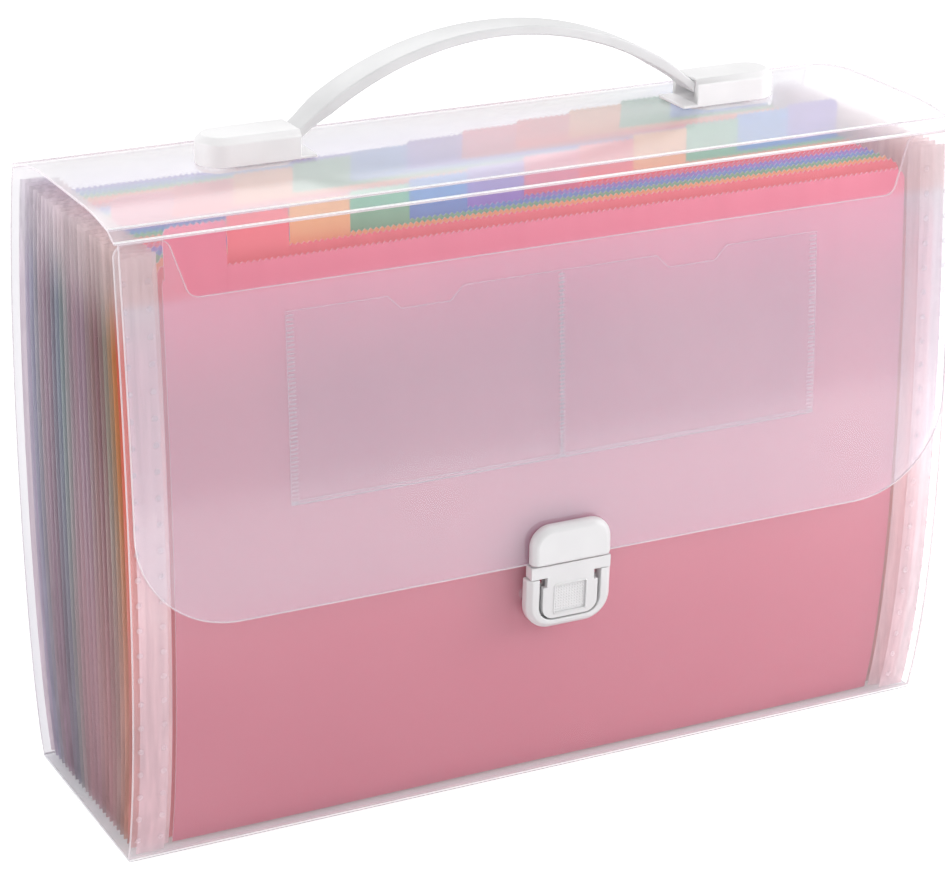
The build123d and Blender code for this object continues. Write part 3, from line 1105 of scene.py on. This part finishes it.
@dataclass
class Pleats:
    """Pleated film at each side, one fold for each pocket, which in the real file closes as the
    front leans back. Each fold is a piece of its own."""

    ridge: float = 163.0
    valley: float = 148.5
    flange: float = 11.5
    off_panel: float = 0.35
    off_divider: float = 0.2
    weld_end: float = 0.45  # share of the first fold's points that lie on its flange
    turn_softness: float = 0.004  # rounds the ridge
    foot: float = 2.0
    top: float = 226.0
    rows: int = 26
    along: int = 13
    lean_divisor: float = 24.5  # a divider's joint turns by 1 - number / this
    tones: tuple = (
        (0, "#F8E0E6"), (1, "#FF7E66"), (2, "#FF8268"), (3, "#F4A564"), (5, "#B8B29C"),
        (7, "#B3979F"), (10, "#D2ABB4"), (14, "#B9BEC9"), (17, "#AEABB4"), (20, "#CBBED3"),
        (24, "#DCD5E1"),
    )
    pales: tuple = ("#F2DEDC", "#EEE6F0")
    # painted light: the pale pink that the folds' feet are mixed towards, by a share for each
    # pocket
    dusk: str = "#F2CCD0"
    painted_foot_pockets: tuple = (0, 1, 12, 18)
    painted_foot_shares: tuple = (0, 0.75, 0.6, 0.1)
    dye_share: float = 0.11

    def tints(self, pocket: int) -> tuple:
        """Colour of one fold, its paler colour near the top and its colour at the foot, which is
        painted light.

        Folds near the front show the warmer dyes behind them and those near the back the
        cool light from behind; each also takes a share of its own divider's dye.

        Args:
            pocket: Number of the pocket, 0 behind the front panel.

        Returns:
            The three hex colours.
        """
        following = next(i for i, (place, _) in enumerate(self.tones) if place >= pocket)
        (start, near), (end, far) = self.tones[max(following - 1, 0)], self.tones[following]
        tone = mixed(near, far, (pocket - start) / max(end - start, 1))
        dye = list(DYES.values())[pocket % len(DYES)][0]
        own = mixed(tone, dye, self.dye_share)
        painted_foot_share = float(np.interp(pocket, self.painted_foot_pockets, self.painted_foot_shares))
        return own, mixed(*self.pales, pocket / DIVIDERS), mixed(own, self.dusk, painted_foot_share)

    def fold_path(self, pocket: int, z: np.ndarray) -> tuple:
        """Plan view of one fold at each height.

        Between two valleys the film goes out to its ridge and back: x is the valley's plus
        the depth of the pleat times 1 - |1 - 2u|, rounded at the turn, and y runs evenly
        from one divider to the next. The first and last fold start and end with the flange
        that is welded to the panel.

        Args:
            pocket: Number of the pocket, 0 behind the front panel.
            z: Heights as a column.

        Returns:
            x and y, heights down and points along.
        """
        off_near = self.off_divider if pocket else self.off_panel
        off_far = self.off_divider if pocket < DIVIDERS else -self.off_panel
        near = divider_bow(pocket).depth(z) + off_near
        far = divider_bow(pocket + 1).depth(z) + off_far
        u = np.linspace(0, 1, self.along)[None, :]
        welded = self.ridge - self.flange
        if pocket == 0:
            stops = [0, self.weld_end, 1]
            x = np.interp(u, stops, [welded, self.ridge, self.valley])
            share = np.interp(u, stops, [0, 0, 1])
        elif pocket == DIVIDERS:
            stops = [0, 1 - self.weld_end, 1]
            x = np.interp(u, stops, [self.valley, self.ridge, welded])
            share = np.interp(u, stops, [0, 1, 1])
        else:
            fold = 1 - np.sqrt((1 - 2 * u) ** 2 + self.turn_softness)
            x = self.valley + (self.ridge - self.valley) * np.clip(fold, 0, 1)
            share = u
        y = near + (far - near) * share
        return np.broadcast_to(x, y.shape), y

    def build(self) -> None:
        """Builds every fold on both sides."""
        z = np.linspace(self.foot, self.top, self.rows)[:, None]
        nodes = {-1: "pleats_left", 1: "pleats_right"}
        for pocket in range(DIVIDERS + 1):
            finish = PleatFilm(f"pleat_film_{pocket:02d}", *self.tints(pocket)).material()
            x, y = self.fold_path(pocket, z)
            for side, node in nodes.items():
                film = np.stack(np.broadcast_arrays(side * x, y, z), axis=2)
                hand = "left" if side < 0 else "right"
                face = grid_faces(*film.shape[:2])
                piece = make_object(
                    f"pleat_{hand}_{pocket:02d}",
                    film.reshape(-1, 3),
                    face if side > 0 else face[:, ::-1],
                    [finish],
                    solid=False,
                )
                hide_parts(node)
                self.follow(piece, pocket)
                LOG.info("%s bends between case and front", piece.name)

    def follow(self, piece: bpy.types.Object, pocket: int) -> None:
        """Works out the share of the front's turn that the divider at each end of a fold has, and
        their depths at the top, then bakes the fold's place into its mesh; the fold is not bent.

        Args:
            piece: The fold.
            pocket: Number of its pocket.
        """
        shares = [max(0.0, 1 - number / self.lean_divisor) for number in (pocket, pocket + 1)]
        if pocket == DIVIDERS:
            shares[1] = 0.0
        y = [float(divider_bow(n).depth(np.array(self.top))) for n in (pocket, pocket + 1)]
        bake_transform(piece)


@dataclass
class Dividers:
    """Coloured sheets with pinked tabs in two rows."""

    half_width: float = 147.0
    foot: float = 2.0
    top: float = 221.0
    thickness: float = 0.4
    in_row: int = 12
    tab_gap: float = 1.0
    front_tab: float = 13.0
    back_tab: float = 10.0
    tooth_pitch: float = 2.2
    tooth: float = 1.0
    step: float = 0.02  # width in which a tab's side rises
    corner: float = 3.0
    first_drop: float = 2.5  # the foremost sheet stands a little lower
    ripple: float = 0.22
    ripple_step: float = 1.7
    glow: float = 0.1
    # partly the whitened cut and partly painted highlight: the cut edges are their dye mixed this
    # far towards white
    edge_whitening_and_highlight: float = 0.65
    # painted shade on the foremost sheet: its dye darker lower down
    front_painted_shade: str = "#CF5F79"

    def pinked(self, start: float, end: float, level: float) -> np.ndarray:
        """Zigzag between a level and one tooth below it.

        Args:
            start: X of its left end.
            end: X of its right end.
            level: Height of the teeth's points.

        Returns:
            The zigzag as (x, z) rows.
        """
        count = max(1, round((end - start) / self.tooth_pitch))
        x = np.linspace(start, end, 2 * count + 1)
        return np.stack([x, level - self.tooth * (np.arange(len(x)) % 2 == 0)], axis=1)

    def outline(self, number: int) -> np.ndarray:
        """Upper outline of a divider: pinked along the top and along its tab, and cut off at
        the two corners.

        Args:
            number: The divider's number, 1 at the front.

        Returns:
            The outline as (x, z) rows.
        """
        row, column = divmod(number - 1, self.in_row)
        pitch = 2 * self.half_width / self.in_row
        left = -self.half_width + column * pitch + self.tab_gap
        right = left + pitch - 2 * self.tab_gap
        tab = self.back_tab if row else self.front_tab
        top = self.top - (self.first_drop if number == 1 else 0)
        path = np.vstack(
            [
                self.pinked(-self.half_width, left - self.step, top),
                self.pinked(left, right, self.top + tab),
                self.pinked(right + self.step, self.half_width, top),
            ]
        )
        path[:, 1] -= np.clip(self.corner - (self.half_width - abs(path[:, 0])), 0, None)
        return path

    def build(self) -> None:
        """Builds every divider in its dye."""
        made = {}
        for dye, colours in DYES.items():
            # cut edges paler than the dye: real whitening together with a painted highlight
            pale = [mixed(colour, "#FFFFFF", self.edge_whitening_and_highlight) for colour in colours]
            made[dye] = [
                ColouredSheet(f"dyed_sheet_{dye}", *colours, glow=self.glow).material(),
                ColouredSheet(f"cut_edge_{dye}", *pale).material(),
            ]
        front = ColouredSheet("dyed_sheet_front_painted_shade", *DYES["pink"], self.front_painted_shade).material()
        names = list(DYES)
        low = np.array([(-self.half_width, self.foot), (self.half_width, self.foot)])
        for number in range(1, DIVIDERS + 1):
            dye = names[(number - 1) % len(names)]
            node = f"divider_{number:02d}"
            near = wall_grid(
                divider_bow(number).stretched(self.top + self.front_tab + SHEET),
                low,
                self.outline(number),
                rows=14,
                spacing=16.0,
                ripple=self.ripple,
                phase=self.ripple_step * number,
                level=self.top - self.first_drop - self.corner - 2 * self.tooth,
            )
            far = near + (0, self.thickness, 0)
            face, edge = made[dye]
            finish = [face if number > 1 else front, edge]
            sheet = closed_sheet(f"dyed_{node}", near, far, finish)
            dress(sheet, node, f"divider_{dye}", node)


@dataclass
class FrontWall:
    """Front panel with its scoop, the weld dots at its sides and the card pockets."""

    finishes: Finishes
    foot_lift: float = 0.15  # keeps the foot off the bottom panel as the front leans
    ear_top: float = 19.0
    ear_bottom: float = 26.0
    scoop_depth: float = 21.0
    scoop_corner: float = 5.0
    ear_corner: float = 4.0
    ear_side: float = 20.0
    dot_columns: tuple = (162.3, 153.7)
    dot_foot: float = 9.0
    dot_head: float = 7.0
    dot_pitch: float = 9.5
    dot_radius: float = 1.15
    dot_profile: tuple = ((1.0, -0.05), (0.9, 0.12), (0.72, 0.2), (0.5, 0.1), (0.3, 0.03))
    pocket_half: float = 105.4
    pocket_gap: float = 0.3
    pocket_bottom: float = 131.0
    pocket_height: float = 69.7
    pocket_film: float = 0.25
    pocket_off: float = 0.42
    notch_top: float = 14.5
    notch_bottom: float = 9.5
    notch_depth: float = 5.0
    notch_corner: float = 2.0
    foot_weld: float = 1.4
    foot_weld_off: float = 0.6
    foot_weld_thickness: float = 0.1
    seam: float = 3.0
    seam_off: float = 0.58
    rib_pitch: float = 1.5
    rib: float = 0.48
    rib_height: float = 0.1

    def build(self) -> None:
        """Builds the panel, then what is welded to it."""
        foot = WALL_FOOT + self.foot_lift
        floor = np.array([(-CASE_HALF, foot), (CASE_HALF, foot)])
        inner, outer = CASE_HALF - self.ear_bottom, CASE_HALF - self.ear_top
        low_z = WALL_HEIGHT - self.scoop_depth
        half = [
            (CASE_HALF, WALL_HEIGHT - self.ear_side),
            (CASE_HALF, WALL_HEIGHT),
            (outer, WALL_HEIGHT),
            (inner, low_z),
            (0, low_z),
        ]
        radii = [self.ear_corner, self.ear_corner, self.scoop_corner]
        right = rounded_path(half, radii)[1:-1]
        left = right * (-1, 1)
        panel = clear_sheet(
            "front_sheet",
            wall_grid(
                FRONT_BOW.moved(SHEET / 2), floor, np.vstack([left, right[::-1]]), spacing=12.0
            ),
            SHEET,
            [self.finishes.front, self.finishes.edge],
        )
        dress(panel, Body.FRONT, Slot.SHEET, "front_panel")
        self.weld_dots()
        for side, hand in ((-1, "left"), (1, "right")):
            self.card_pocket(side, hand)

    def weld_dots(self) -> None:
        """Adds the rows of small round welds: a raised rim round a dimple."""
        z = np.arange(self.dot_foot, WALL_HEIGHT - self.dot_head, self.dot_pitch)
        x = np.array([side * column for side in (-1, 1) for column in self.dot_columns])
        x, z = (a.ravel() for a in np.meshgrid(x, z))
        centres = np.stack([x, FRONT_BOW.depth(z), z], axis=1)
        profile = np.array(self.dot_profile)
        dots = scattered_domes(
            "weld_dots", centres, ACROSS, UPWARD, self.dot_radius, profile, self.finishes.weld
        )
        dress(dots, Body.FRONT, Slot.SHEET)

    def card_pocket(self, side: int, hand: str) -> None:
        """Adds one card pocket with its welded seams.

        Args:
            side: -1 for the left pocket, 1 for the right one.
            hand: Its name.
        """
        ends = sorted((side * self.pocket_gap, side * self.pocket_half))
        top = self.pocket_bottom + self.pocket_height
        middle = sum(ends) / 2
        notch = [
            (ends[0], top),
            (middle - self.notch_top, top),
            (middle - self.notch_bottom, top - self.notch_depth),
            (middle + self.notch_bottom, top - self.notch_depth),
            (middle + self.notch_top, top),
            (ends[1], top),
        ]
        low = np.array([(ends[0], self.pocket_bottom), (ends[1], self.pocket_bottom)])
        high = rounded_path(notch, [self.notch_corner] * 4)
        film = clear_sheet(
            f"card_pocket_{hand}_film",
            wall_grid(FRONT_BOW.moved(-self.pocket_off), low, high, rows=16),
            self.pocket_film,
            [self.finishes.pocket, self.finishes.weld],
        )
        dress(film, Body.FRONT, Slot.POCKET, f"card_pocket_{hand}")
        outermost = side * (self.pocket_half - self.seam / 2)
        self.ribbed_seam(f"card_pocket_{hand}_seam", outermost)
        if side > 0:
            self.ribbed_seam("card_pocket_middle_seam", 0.0)
        weld = wall_grid(
            FRONT_BOW.moved(-self.foot_weld_off), low, low + (0, self.foot_weld), rows=3
        )
        foot = clear_sheet(
            f"card_pocket_{hand}_foot_weld",
            weld,
            self.foot_weld_thickness,
            [self.finishes.weld, self.finishes.weld],
        )
        dress(foot, Body.FRONT, Slot.POCKET)

    def ribbed_seam(self, name: str, x_middle: float) -> None:
        """Adds an upright weld: a row of small bars, pressed by ribbed jaws.

        Args:
            name: The piece's name.
            x_middle: Middle of the seam.
        """
        z = np.arange(
            self.pocket_bottom + self.rib_pitch / 2,
            self.pocket_bottom + self.pocket_height - self.rib_pitch / 2,
            self.rib_pitch,
        )
        y = FRONT_BOW.depth(z) - self.seam_off
        centres = np.stack([np.full_like(z, x_middle), y, z], axis=1)
        profile = np.array([(1.0, -0.05), (0.8, self.rib_height), (0.4, 1.6 * self.rib_height)])
        across = ACROSS * self.seam / (2 * self.rib)
        bars = scattered_domes(
            name, centres, across, UPWARD, self.rib, profile, self.finishes.weld
        )
        dress(bars, Body.FRONT, Slot.POCKET)


@dataclass
class Lid:
    """Top panel, crease strip and front flap, with the beads along the creases."""

    finishes: Finishes
    crown: float = 238.0
    flat_from: float = -22.25
    flat_to: float = 14.75
    flap_half: float = 163.5
    flap_bottom: float = 92.0
    flap_corner: float = 38.0
    flap_side: float = 60.0
    bead: float = 0.36

    def arc(self, start: tuple, end: tuple) -> np.ndarray:
        """Arc that leaves start level and ends at end.

        Its radius is (run^2 + drop^2) / (2 drop), and its points are start + (r sin s,
        r cos s - r), for s up to the angle that reaches end.

        Args:
            start: (y, z) where the flat ends.
            end: (y, z) of the fold.

        Returns:
            Points from start to end.
        """
        run, drop = end[0] - start[0], start[1] - end[1]
        radius = (run**2 + drop**2) / (2 * drop)
        s = np.linspace(0, asin(abs(run) / radius), 14)
        y = start[0] + np.sign(run) * radius * np.sin(s)
        return np.stack([y, start[1] + radius * (np.cos(s) - 1)], axis=1)

    def build(self) -> None:
        """Builds the three sheets and their beads."""
        fore = self.arc((self.flat_from, self.crown), UPPER_CREASE)
        aft = self.arc((self.flat_to, self.crown), BACK_HINGE)
        flat = np.linspace(self.flat_from, self.flat_to, 8)[1:-1]
        level = np.stack([flat, np.full_like(flat, self.crown)], axis=1)
        top = folded_sheet(
            "top_sheet",
            np.vstack([fore[::-1], level, aft]),
            CASE_HALF,
            [self.finishes.top, self.finishes.edge],
        )
        dress(top, Body.TOP, Slot.SHEET, "top_panel")
        top.visible_shadow = False  # the real sheet lets nearly all light in
        near = (UPPER_CREASE[0] - CREASE_GAP, UPPER_CREASE[1])
        strip = folded_sheet(
            "crease_strip_sheet",
            np.linspace(LOWER_CREASE, near, 4),
            CASE_HALF,
            [self.finishes.strip, self.finishes.edge],
        )
        dress(strip, Body.STRIP, Slot.SHEET, "crease_strip")
        strip.visible_shadow = False  # as the top sheet
        half, bottom, side = self.flap_half, self.flap_bottom, self.flap_bottom + self.flap_side
        low = rounded_path(
            [(-half, side), (-half, bottom), (half, bottom), (half, side)],
            [self.flap_corner] * 2,
            steps=20,
        )[1:-1]
        high = np.array([(-half, FLAP_TOP), (half, FLAP_TOP)])
        flap = clear_sheet(
            "flap_sheet",
            wall_grid(FLAP_BOW.moved(SHEET / 2), low, high, spacing=12.0),
            SHEET,
            [self.finishes.flap, self.finishes.edge],
        )
        dress(flap, Body.FLAP, Slot.SHEET, "front_flap")
        white = self.finishes.whitened
        fold_bead("upper_crease_bead", UPPER_CREASE, self.bead, Body.TOP, Body.STRIP, white)
        fold_bead("lower_crease_bead", LOWER_CREASE, self.bead, Body.STRIP, Body.FLAP, white)


@dataclass
class Handle:
    """Carrying strap and its mounts."""

    finishes: Finishes
    face_height: float = 245.3
    bend: float = 12.0
    half_span: float = 79.8
    thickness: float = 3.0
    edge: float = 0.55
    crown: float = 2.4
    reach: tuple = (0.0, 55.0, 68.0, 76.0)
    widths: tuple = (14.4, 14.4, 14.4, 12.0)
    thicknesses: tuple = (3.3, 4.2, 4.2, 3.0)
    flattened: float = 0.38  # share of the strap's height that is left when pressed flat
    lip: float = 6.0
    cavity: float = 29.0
    cavity_wall: float = 1.0
    cavity_floor: float = 1.1
    mouth_play: float = 0.1
    mount_edge: float = 0.5

    def spine(self) -> np.ndarray:
        """Path of the strap's middle: a wide arch, a small bend at each foot that brings it
        level, and a straight tail inside each mount.

        Returns:
            Points from the left end to the right one.
        """
        low, high = box_in_mm("handle_strap")
        middle = (low + high) / 2
        apex = high[2] - self.thickness / 2 + self.crown
        tail_end = high[0] - middle[0]
        rise = apex - self.face_height
        radius = (self.half_span**2 + rise**2) / (2 * rise)
        lean = asin(self.half_span / radius)
        s = np.linspace(0, lean, 70)
        arch = np.stack([radius * np.sin(s), apex + radius * (np.cos(s) - 1)], axis=1)
        q = np.linspace(lean, 0, 10)[1:]
        foot = arch[-1] + self.bend * np.stack(
            [np.sin(lean) - np.sin(q), np.cos(lean) - np.cos(q)], axis=1
        )
        x = np.linspace(foot[-1, 0], tail_end, 6)[1:]
        tail = np.stack([x, np.full_like(x, foot[-1, 1])], axis=1)
        half = np.vstack([arch, foot, tail])
        whole = np.vstack([half[:0:-1] * (-1, 1), half])
        y = np.full(len(whole), middle[1])
        return np.stack([middle[0] + whole[:, 0], y, whole[:, 1]], axis=1)

    def build(self) -> None:
        """Builds the strap and dresses the mounts, plates and rivets."""
        low, high = box_in_mm("handle_strap")
        spine = self.spine()
        away = abs(spine[:, 0] - (low[0] + high[0]) / 2)
        swell = np.stack(
            [
                np.interp(away, self.reach, self.widths) / self.widths[-1],
                np.interp(away, self.reach, self.thicknesses) / self.thickness,
            ],
            axis=1,
        )
        section = rounded_rectangle(self.widths[-1], self.thickness, self.edge)
        sideways = np.array([0.0, 1.0, 0.0])
        # the strap takes the white moulding painted darker as shade
        satin = self.finishes.satin
        strap = swept_tube("strap", spine, sideways, section, satin, swell[:, None])
        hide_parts("handle_strap")
        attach(strap, Body.TOP.value)
        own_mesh(strap)
        LOG.info("strap rides on top and flattens")
        for side, hand in ((-1, "left"), (1, "right")):
            low, high = box_in_mm(f"handle_mount_{hand}")
            mouth = (high if side < 0 else low)[0] + side * self.lip
            near, far = sorted((mouth - side * self.mouth_play, mouth + side * self.cavity))
            spared = (
                (near, low[1] + self.cavity_wall, low[2] + self.cavity_floor),
                (far, high[1] - self.cavity_wall, high[2] - self.cavity_wall),
            )
            mount = softened_copy(
                f"handle_mount_{hand}",
                f"strap_mount_{hand}",
                self.mount_edge,
                self.finishes.white,
                spared,
            )
            dress(mount, Body.TOP, Slot.MOULDING)
            mount.visible_shadow = False  # a white moulding glows, it leaves no dark patch
        for node in ("handle_plate_left", "handle_plate_right", "handle_rivets"):
            paint(node, self.finishes.white)


@dataclass
class Latch:
    """Base on the front panel, tongue and cap on the flap."""

    finishes: Finishes
    pad_width: float = 13.2
    pad_height: float = 11.5
    pad_bottom: float = 71.8
    pad_recess: float = 0.5
    pad_corner: float = 0.9
    rim: float = 0.32
    lean: float = 2.77
    dot_pitch: float = 1.1
    dot_radius: float = 0.3
    dot_profile: tuple = ((1.0, -0.05), (0.8, 0.12), (0.4, 0.2))
    dots_aside: int = 5
    dots_upward: int = 4
    base_edge: float = 0.45
    tongue_edge: float = 0.3
    cap_edge: float = 0.95

    def build(self) -> None:
        """Rounds the three mouldings and details the thumb pad."""
        pieces = {
            "latch_base": (Body.FRONT, self.base_edge),
            "latch_tongue": (Body.TONGUE, self.tongue_edge),
            "latch_cap": (Body.FLAP, self.cap_edge),
        }
        for node, (body, width) in pieces.items():
            # the latch's mouldings take the white moulding painted darker as shade
            piece = softened_copy(node, f"{node}_moulding", width, self.finishes.satin)
            dress(piece, body, Slot.MOULDING)
        for node in ("latch_base_rivets", "latch_cap_rivets"):
            paint(node, self.finishes.weld)
        self.pad()

    def pad(self) -> None:
        """Adds the raised rim round the thumb pad and the dots in it.

        The pad's plane leans forward of the upright. At each point of its outline, with o the
        outward normal in the plane and f the plane's own, the rim is a ring of points, the
        outline's plus the rim's radius times (o cos a + f sin a).
        """
        low, high = box_in_mm("latch_tongue")
        lean = radians(self.lean)
        up = np.array([0, -sin(lean), cos(lean)])
        out = np.array([0, -cos(lean), -sin(lean)])
        height = self.pad_bottom + self.pad_height / 2
        face_y = low[1] + (high[2] - height) * np.tan(lean)
        face = np.array([(low[0] + high[0]) / 2, face_y, height])
        path = rounded_rectangle(self.pad_width, self.pad_height, self.pad_corner)
        along = np.roll(path, -1, axis=0) - np.roll(path, 1, axis=0)
        along /= np.linalg.norm(along, axis=1, keepdims=True)
        flat = np.array([ACROSS, up])
        outwards = np.stack([along[:, 1], -along[:, 0]], axis=1) @ flat
        turn = np.linspace(0, tau, 8, endpoint=False)[:, None]
        section = np.cos(turn) * outwards[:, None] + np.sin(turn) * out
        tube = face + (path @ flat)[:, None] + self.rim * section
        points = tube.reshape(-1, 3)
        faces = grid_faces(len(tube) + 1, len(turn), close_columns=True) % len(points)
        rim = make_object("latch_pad_rim", points, faces, [self.finishes.satin])
        dress(rim, Body.TONGUE, Slot.MOULDING)
        aside = np.arange(-self.dots_aside, self.dots_aside + 1) * self.dot_pitch
        upward = np.arange(-self.dots_upward, self.dots_upward + 1) * self.dot_pitch
        u, v = (a.ravel() for a in np.meshgrid(aside, upward))
        centres = face - self.pad_recess * out + np.stack([u, v], axis=1) @ flat
        profile, satin = np.array(self.dot_profile), self.finishes.satin
        dots = scattered_domes(
            "latch_pad_dots", centres, ACROSS, up, self.dot_radius, profile, satin, spokes=8
        )
        dress(dots, Body.TONGUE, Slot.MOULDING)


# Studio


@dataclass
class Studio:
    """Pale floor, soft lights, white surroundings and the photograph's camera."""

    camera_place: tuple = (-494.2, -972.75, 544.5)
    azimuth: float = -26.54
    elevation: float = 21.25
    roll: float = 0.38
    focal: float = 3124.0
    frame_width: float = 945.0
    film_width: float = 36.0
    floor_half: float = 6000.0
    floor_level: float = -0.4
    floor_lift: float = 0.5
    lamps: tuple = (
        ("key", (-500, -1100, 1500), 1300, 4.8),
        ("left", (-1500, 150, 450), 900, 7.5),
        ("right", (750, -450, 420), 500, 4.5),
        ("back", (300, 1200, 1300), 1000, 7.0),
    )
    aim: tuple = (0, 0, 120)
    strip_light: tuple = (-418.0, -222.0)
    strip_level: float = 2.0
    strip_length: float = 2400.0
    strip_power: float = 4.5
    daylight: float = 0.55

    def build(self) -> None:
        """Builds the stage, the lights and the camera."""
        self.floor()
        self.world()
        for lamp in self.lamps:
            self.lamp(*lamp)
        self.low_band()
        self.camera()

    def seen(self, tree: Tree) -> Socket:
        """Adds a socket that is 1 for the rays that show a thing to the eye.

        Args:
            tree: The node tree.

        Returns:
            The socket.
        """
        path = add(tree, "ShaderNodeLightPath")
        socket = path.outputs["Is Camera Ray"]
        for kind in ("Is Glossy Ray", "Is Transmission Ray"):
            links = {0: socket, 1: path.outputs[kind]}
            socket = add(tree, "ShaderNodeMath", links=links, operation="MAXIMUM").outputs[0]
        return socket

    def floor(self) -> None:
        """Lays the floor, a white matt board that is also bright where the eye sees it."""
        half = self.floor_half
        x, y = np.meshgrid(np.linspace(-half, half, 5), np.linspace(-half, half, 5))
        points = np.stack([x, y, np.full_like(x, self.floor_level)], axis=2).reshape(-1, 3)
        material, tree, _ = new_material("matt_white_board")
        board = add(tree, "ShaderNodeBsdfDiffuse", {"Color": linear("#F4F3F4")})
        lift = add(
            tree,
            "ShaderNodeMath",
            {1: self.floor_lift},
            {0: self.seen(tree)},
            operation="MULTIPLY",
        )
        glow = add(
            tree,
            "ShaderNodeEmission",
            {"Color": linear("#FFFFFF")},
            {"Strength": lift.outputs[0]},
        )
        both = add(
            tree, "ShaderNodeAddShader", links={0: board.outputs[0], 1: glow.outputs[0]}
        )
        tree.links.new(both.outputs[0], tree.get_output_node("CYCLES").inputs["Surface"])
        floor = make_object("floor", points, grid_faces(5, 5), [material])

    def world(self) -> None:
        """Surrounds the file with white: full where the eye sees it, softer as light."""
        world = bpy.data.worlds.new("white_studio")
        bpy.context.scene.world = world
        world.use_nodes = True
        tree = world.node_tree
        tree.nodes.clear()
        output = add(tree, "ShaderNodeOutputWorld")
        white = linear("#FFFFFF")
        light = add(tree, "ShaderNodeBackground", {"Color": white, "Strength": self.daylight})
        plain = add(tree, "ShaderNodeBackground", {"Color": white, "Strength": 1.0})
        mix = add(
            tree,
            "ShaderNodeMixShader",
            links={0: self.seen(tree), 1: light.outputs[0], 2: plain.outputs[0]},
        )
        tree.links.new(mix.outputs[0], output.inputs["Surface"])

    def lamp(self, name: str, place: tuple, size: float, power: float) -> bpy.types.Object:
        """Adds a square soft lamp that looks at the file.

        Args:
            name: Its name.
            place: Where it stands.
            size: Length of its side.
            power: Its power in watts.

        Returns:
            The lamp.
        """
        data = bpy.data.lights.new(name, "AREA")
        data.size, data.energy = size * MM, power
        lamp = bpy.data.objects.new(name, data)
        bpy.context.scene.collection.objects.link(lamp)
        lamp.location = Vector(place) * MM
        aim = Vector(self.aim) * MM - lamp.location
        lamp.rotation_euler = aim.to_track_quat("-Z", "Y").to_euler()
        return lamp

    def low_band(self) -> None:
        """Adds a long low lamp in front of the file, which only shines in reflections: a
        paler band on the lower part of the flap."""
        near, far = self.strip_light
        place = (0, (near + far) / 2, self.strip_level)
        lamp = self.lamp("low_band", place, self.strip_length, self.strip_power)
        lamp.data.shape, lamp.data.size_y = "RECTANGLE", (far - near) * MM
        lamp.rotation_euler = (radians(180), 0, 0)
        lamp.visible_camera = lamp.visible_diffuse = False
        lamp.visible_transmission = False

    def camera(self) -> None:
        """Places the camera where the photograph was taken.

        Its back direction is (sin a cos e, -cos a cos e, sin e) for azimuth a and elevation
        e, and it is rolled about that.
        """
        a, e, r = radians(self.azimuth), radians(self.elevation), radians(self.roll)
        back = Vector((sin(a) * cos(e), -cos(a) * cos(e), sin(e)))
        level = Vector((cos(a), sin(a), 0))
        upright = back.cross(level)
        right = level * cos(r) + upright * sin(r)
        up = upright * cos(r) - level * sin(r)
        data = bpy.data.cameras.new("photo_camera")
        data.sensor_fit, data.sensor_width = "HORIZONTAL", self.film_width
        data.lens = self.focal * data.sensor_width / self.frame_width
        data.clip_end = 50.0
        camera = bpy.data.objects.new("photo_camera", data)
        turn = Matrix((right, up, back)).transposed().to_4x4()
        camera.matrix_world = Matrix.Translation(Vector(self.camera_place) * MM) @ turn
        bpy.context.scene.collection.objects.link(camera)
        bpy.context.scene.camera = camera


def main() -> None:
    """Builds the file from the inside out, then the studio."""
    logging.basicConfig(level=logging.INFO, format="%(message)s")
    bpy.context.scene.view_settings.view_transform = "Standard"
    finishes = Finishes()
    inside = [Dividers(), Pleats()]
    outside = [assembly(finishes) for assembly in (Case, FrontWall, Lid, Handle, Latch)]
    for assembly in inside + outside:
        assembly.build()
        LOG.info("%s done", type(assembly).__name__)
    Studio().build()


if __name__ == "__main__":
    main()
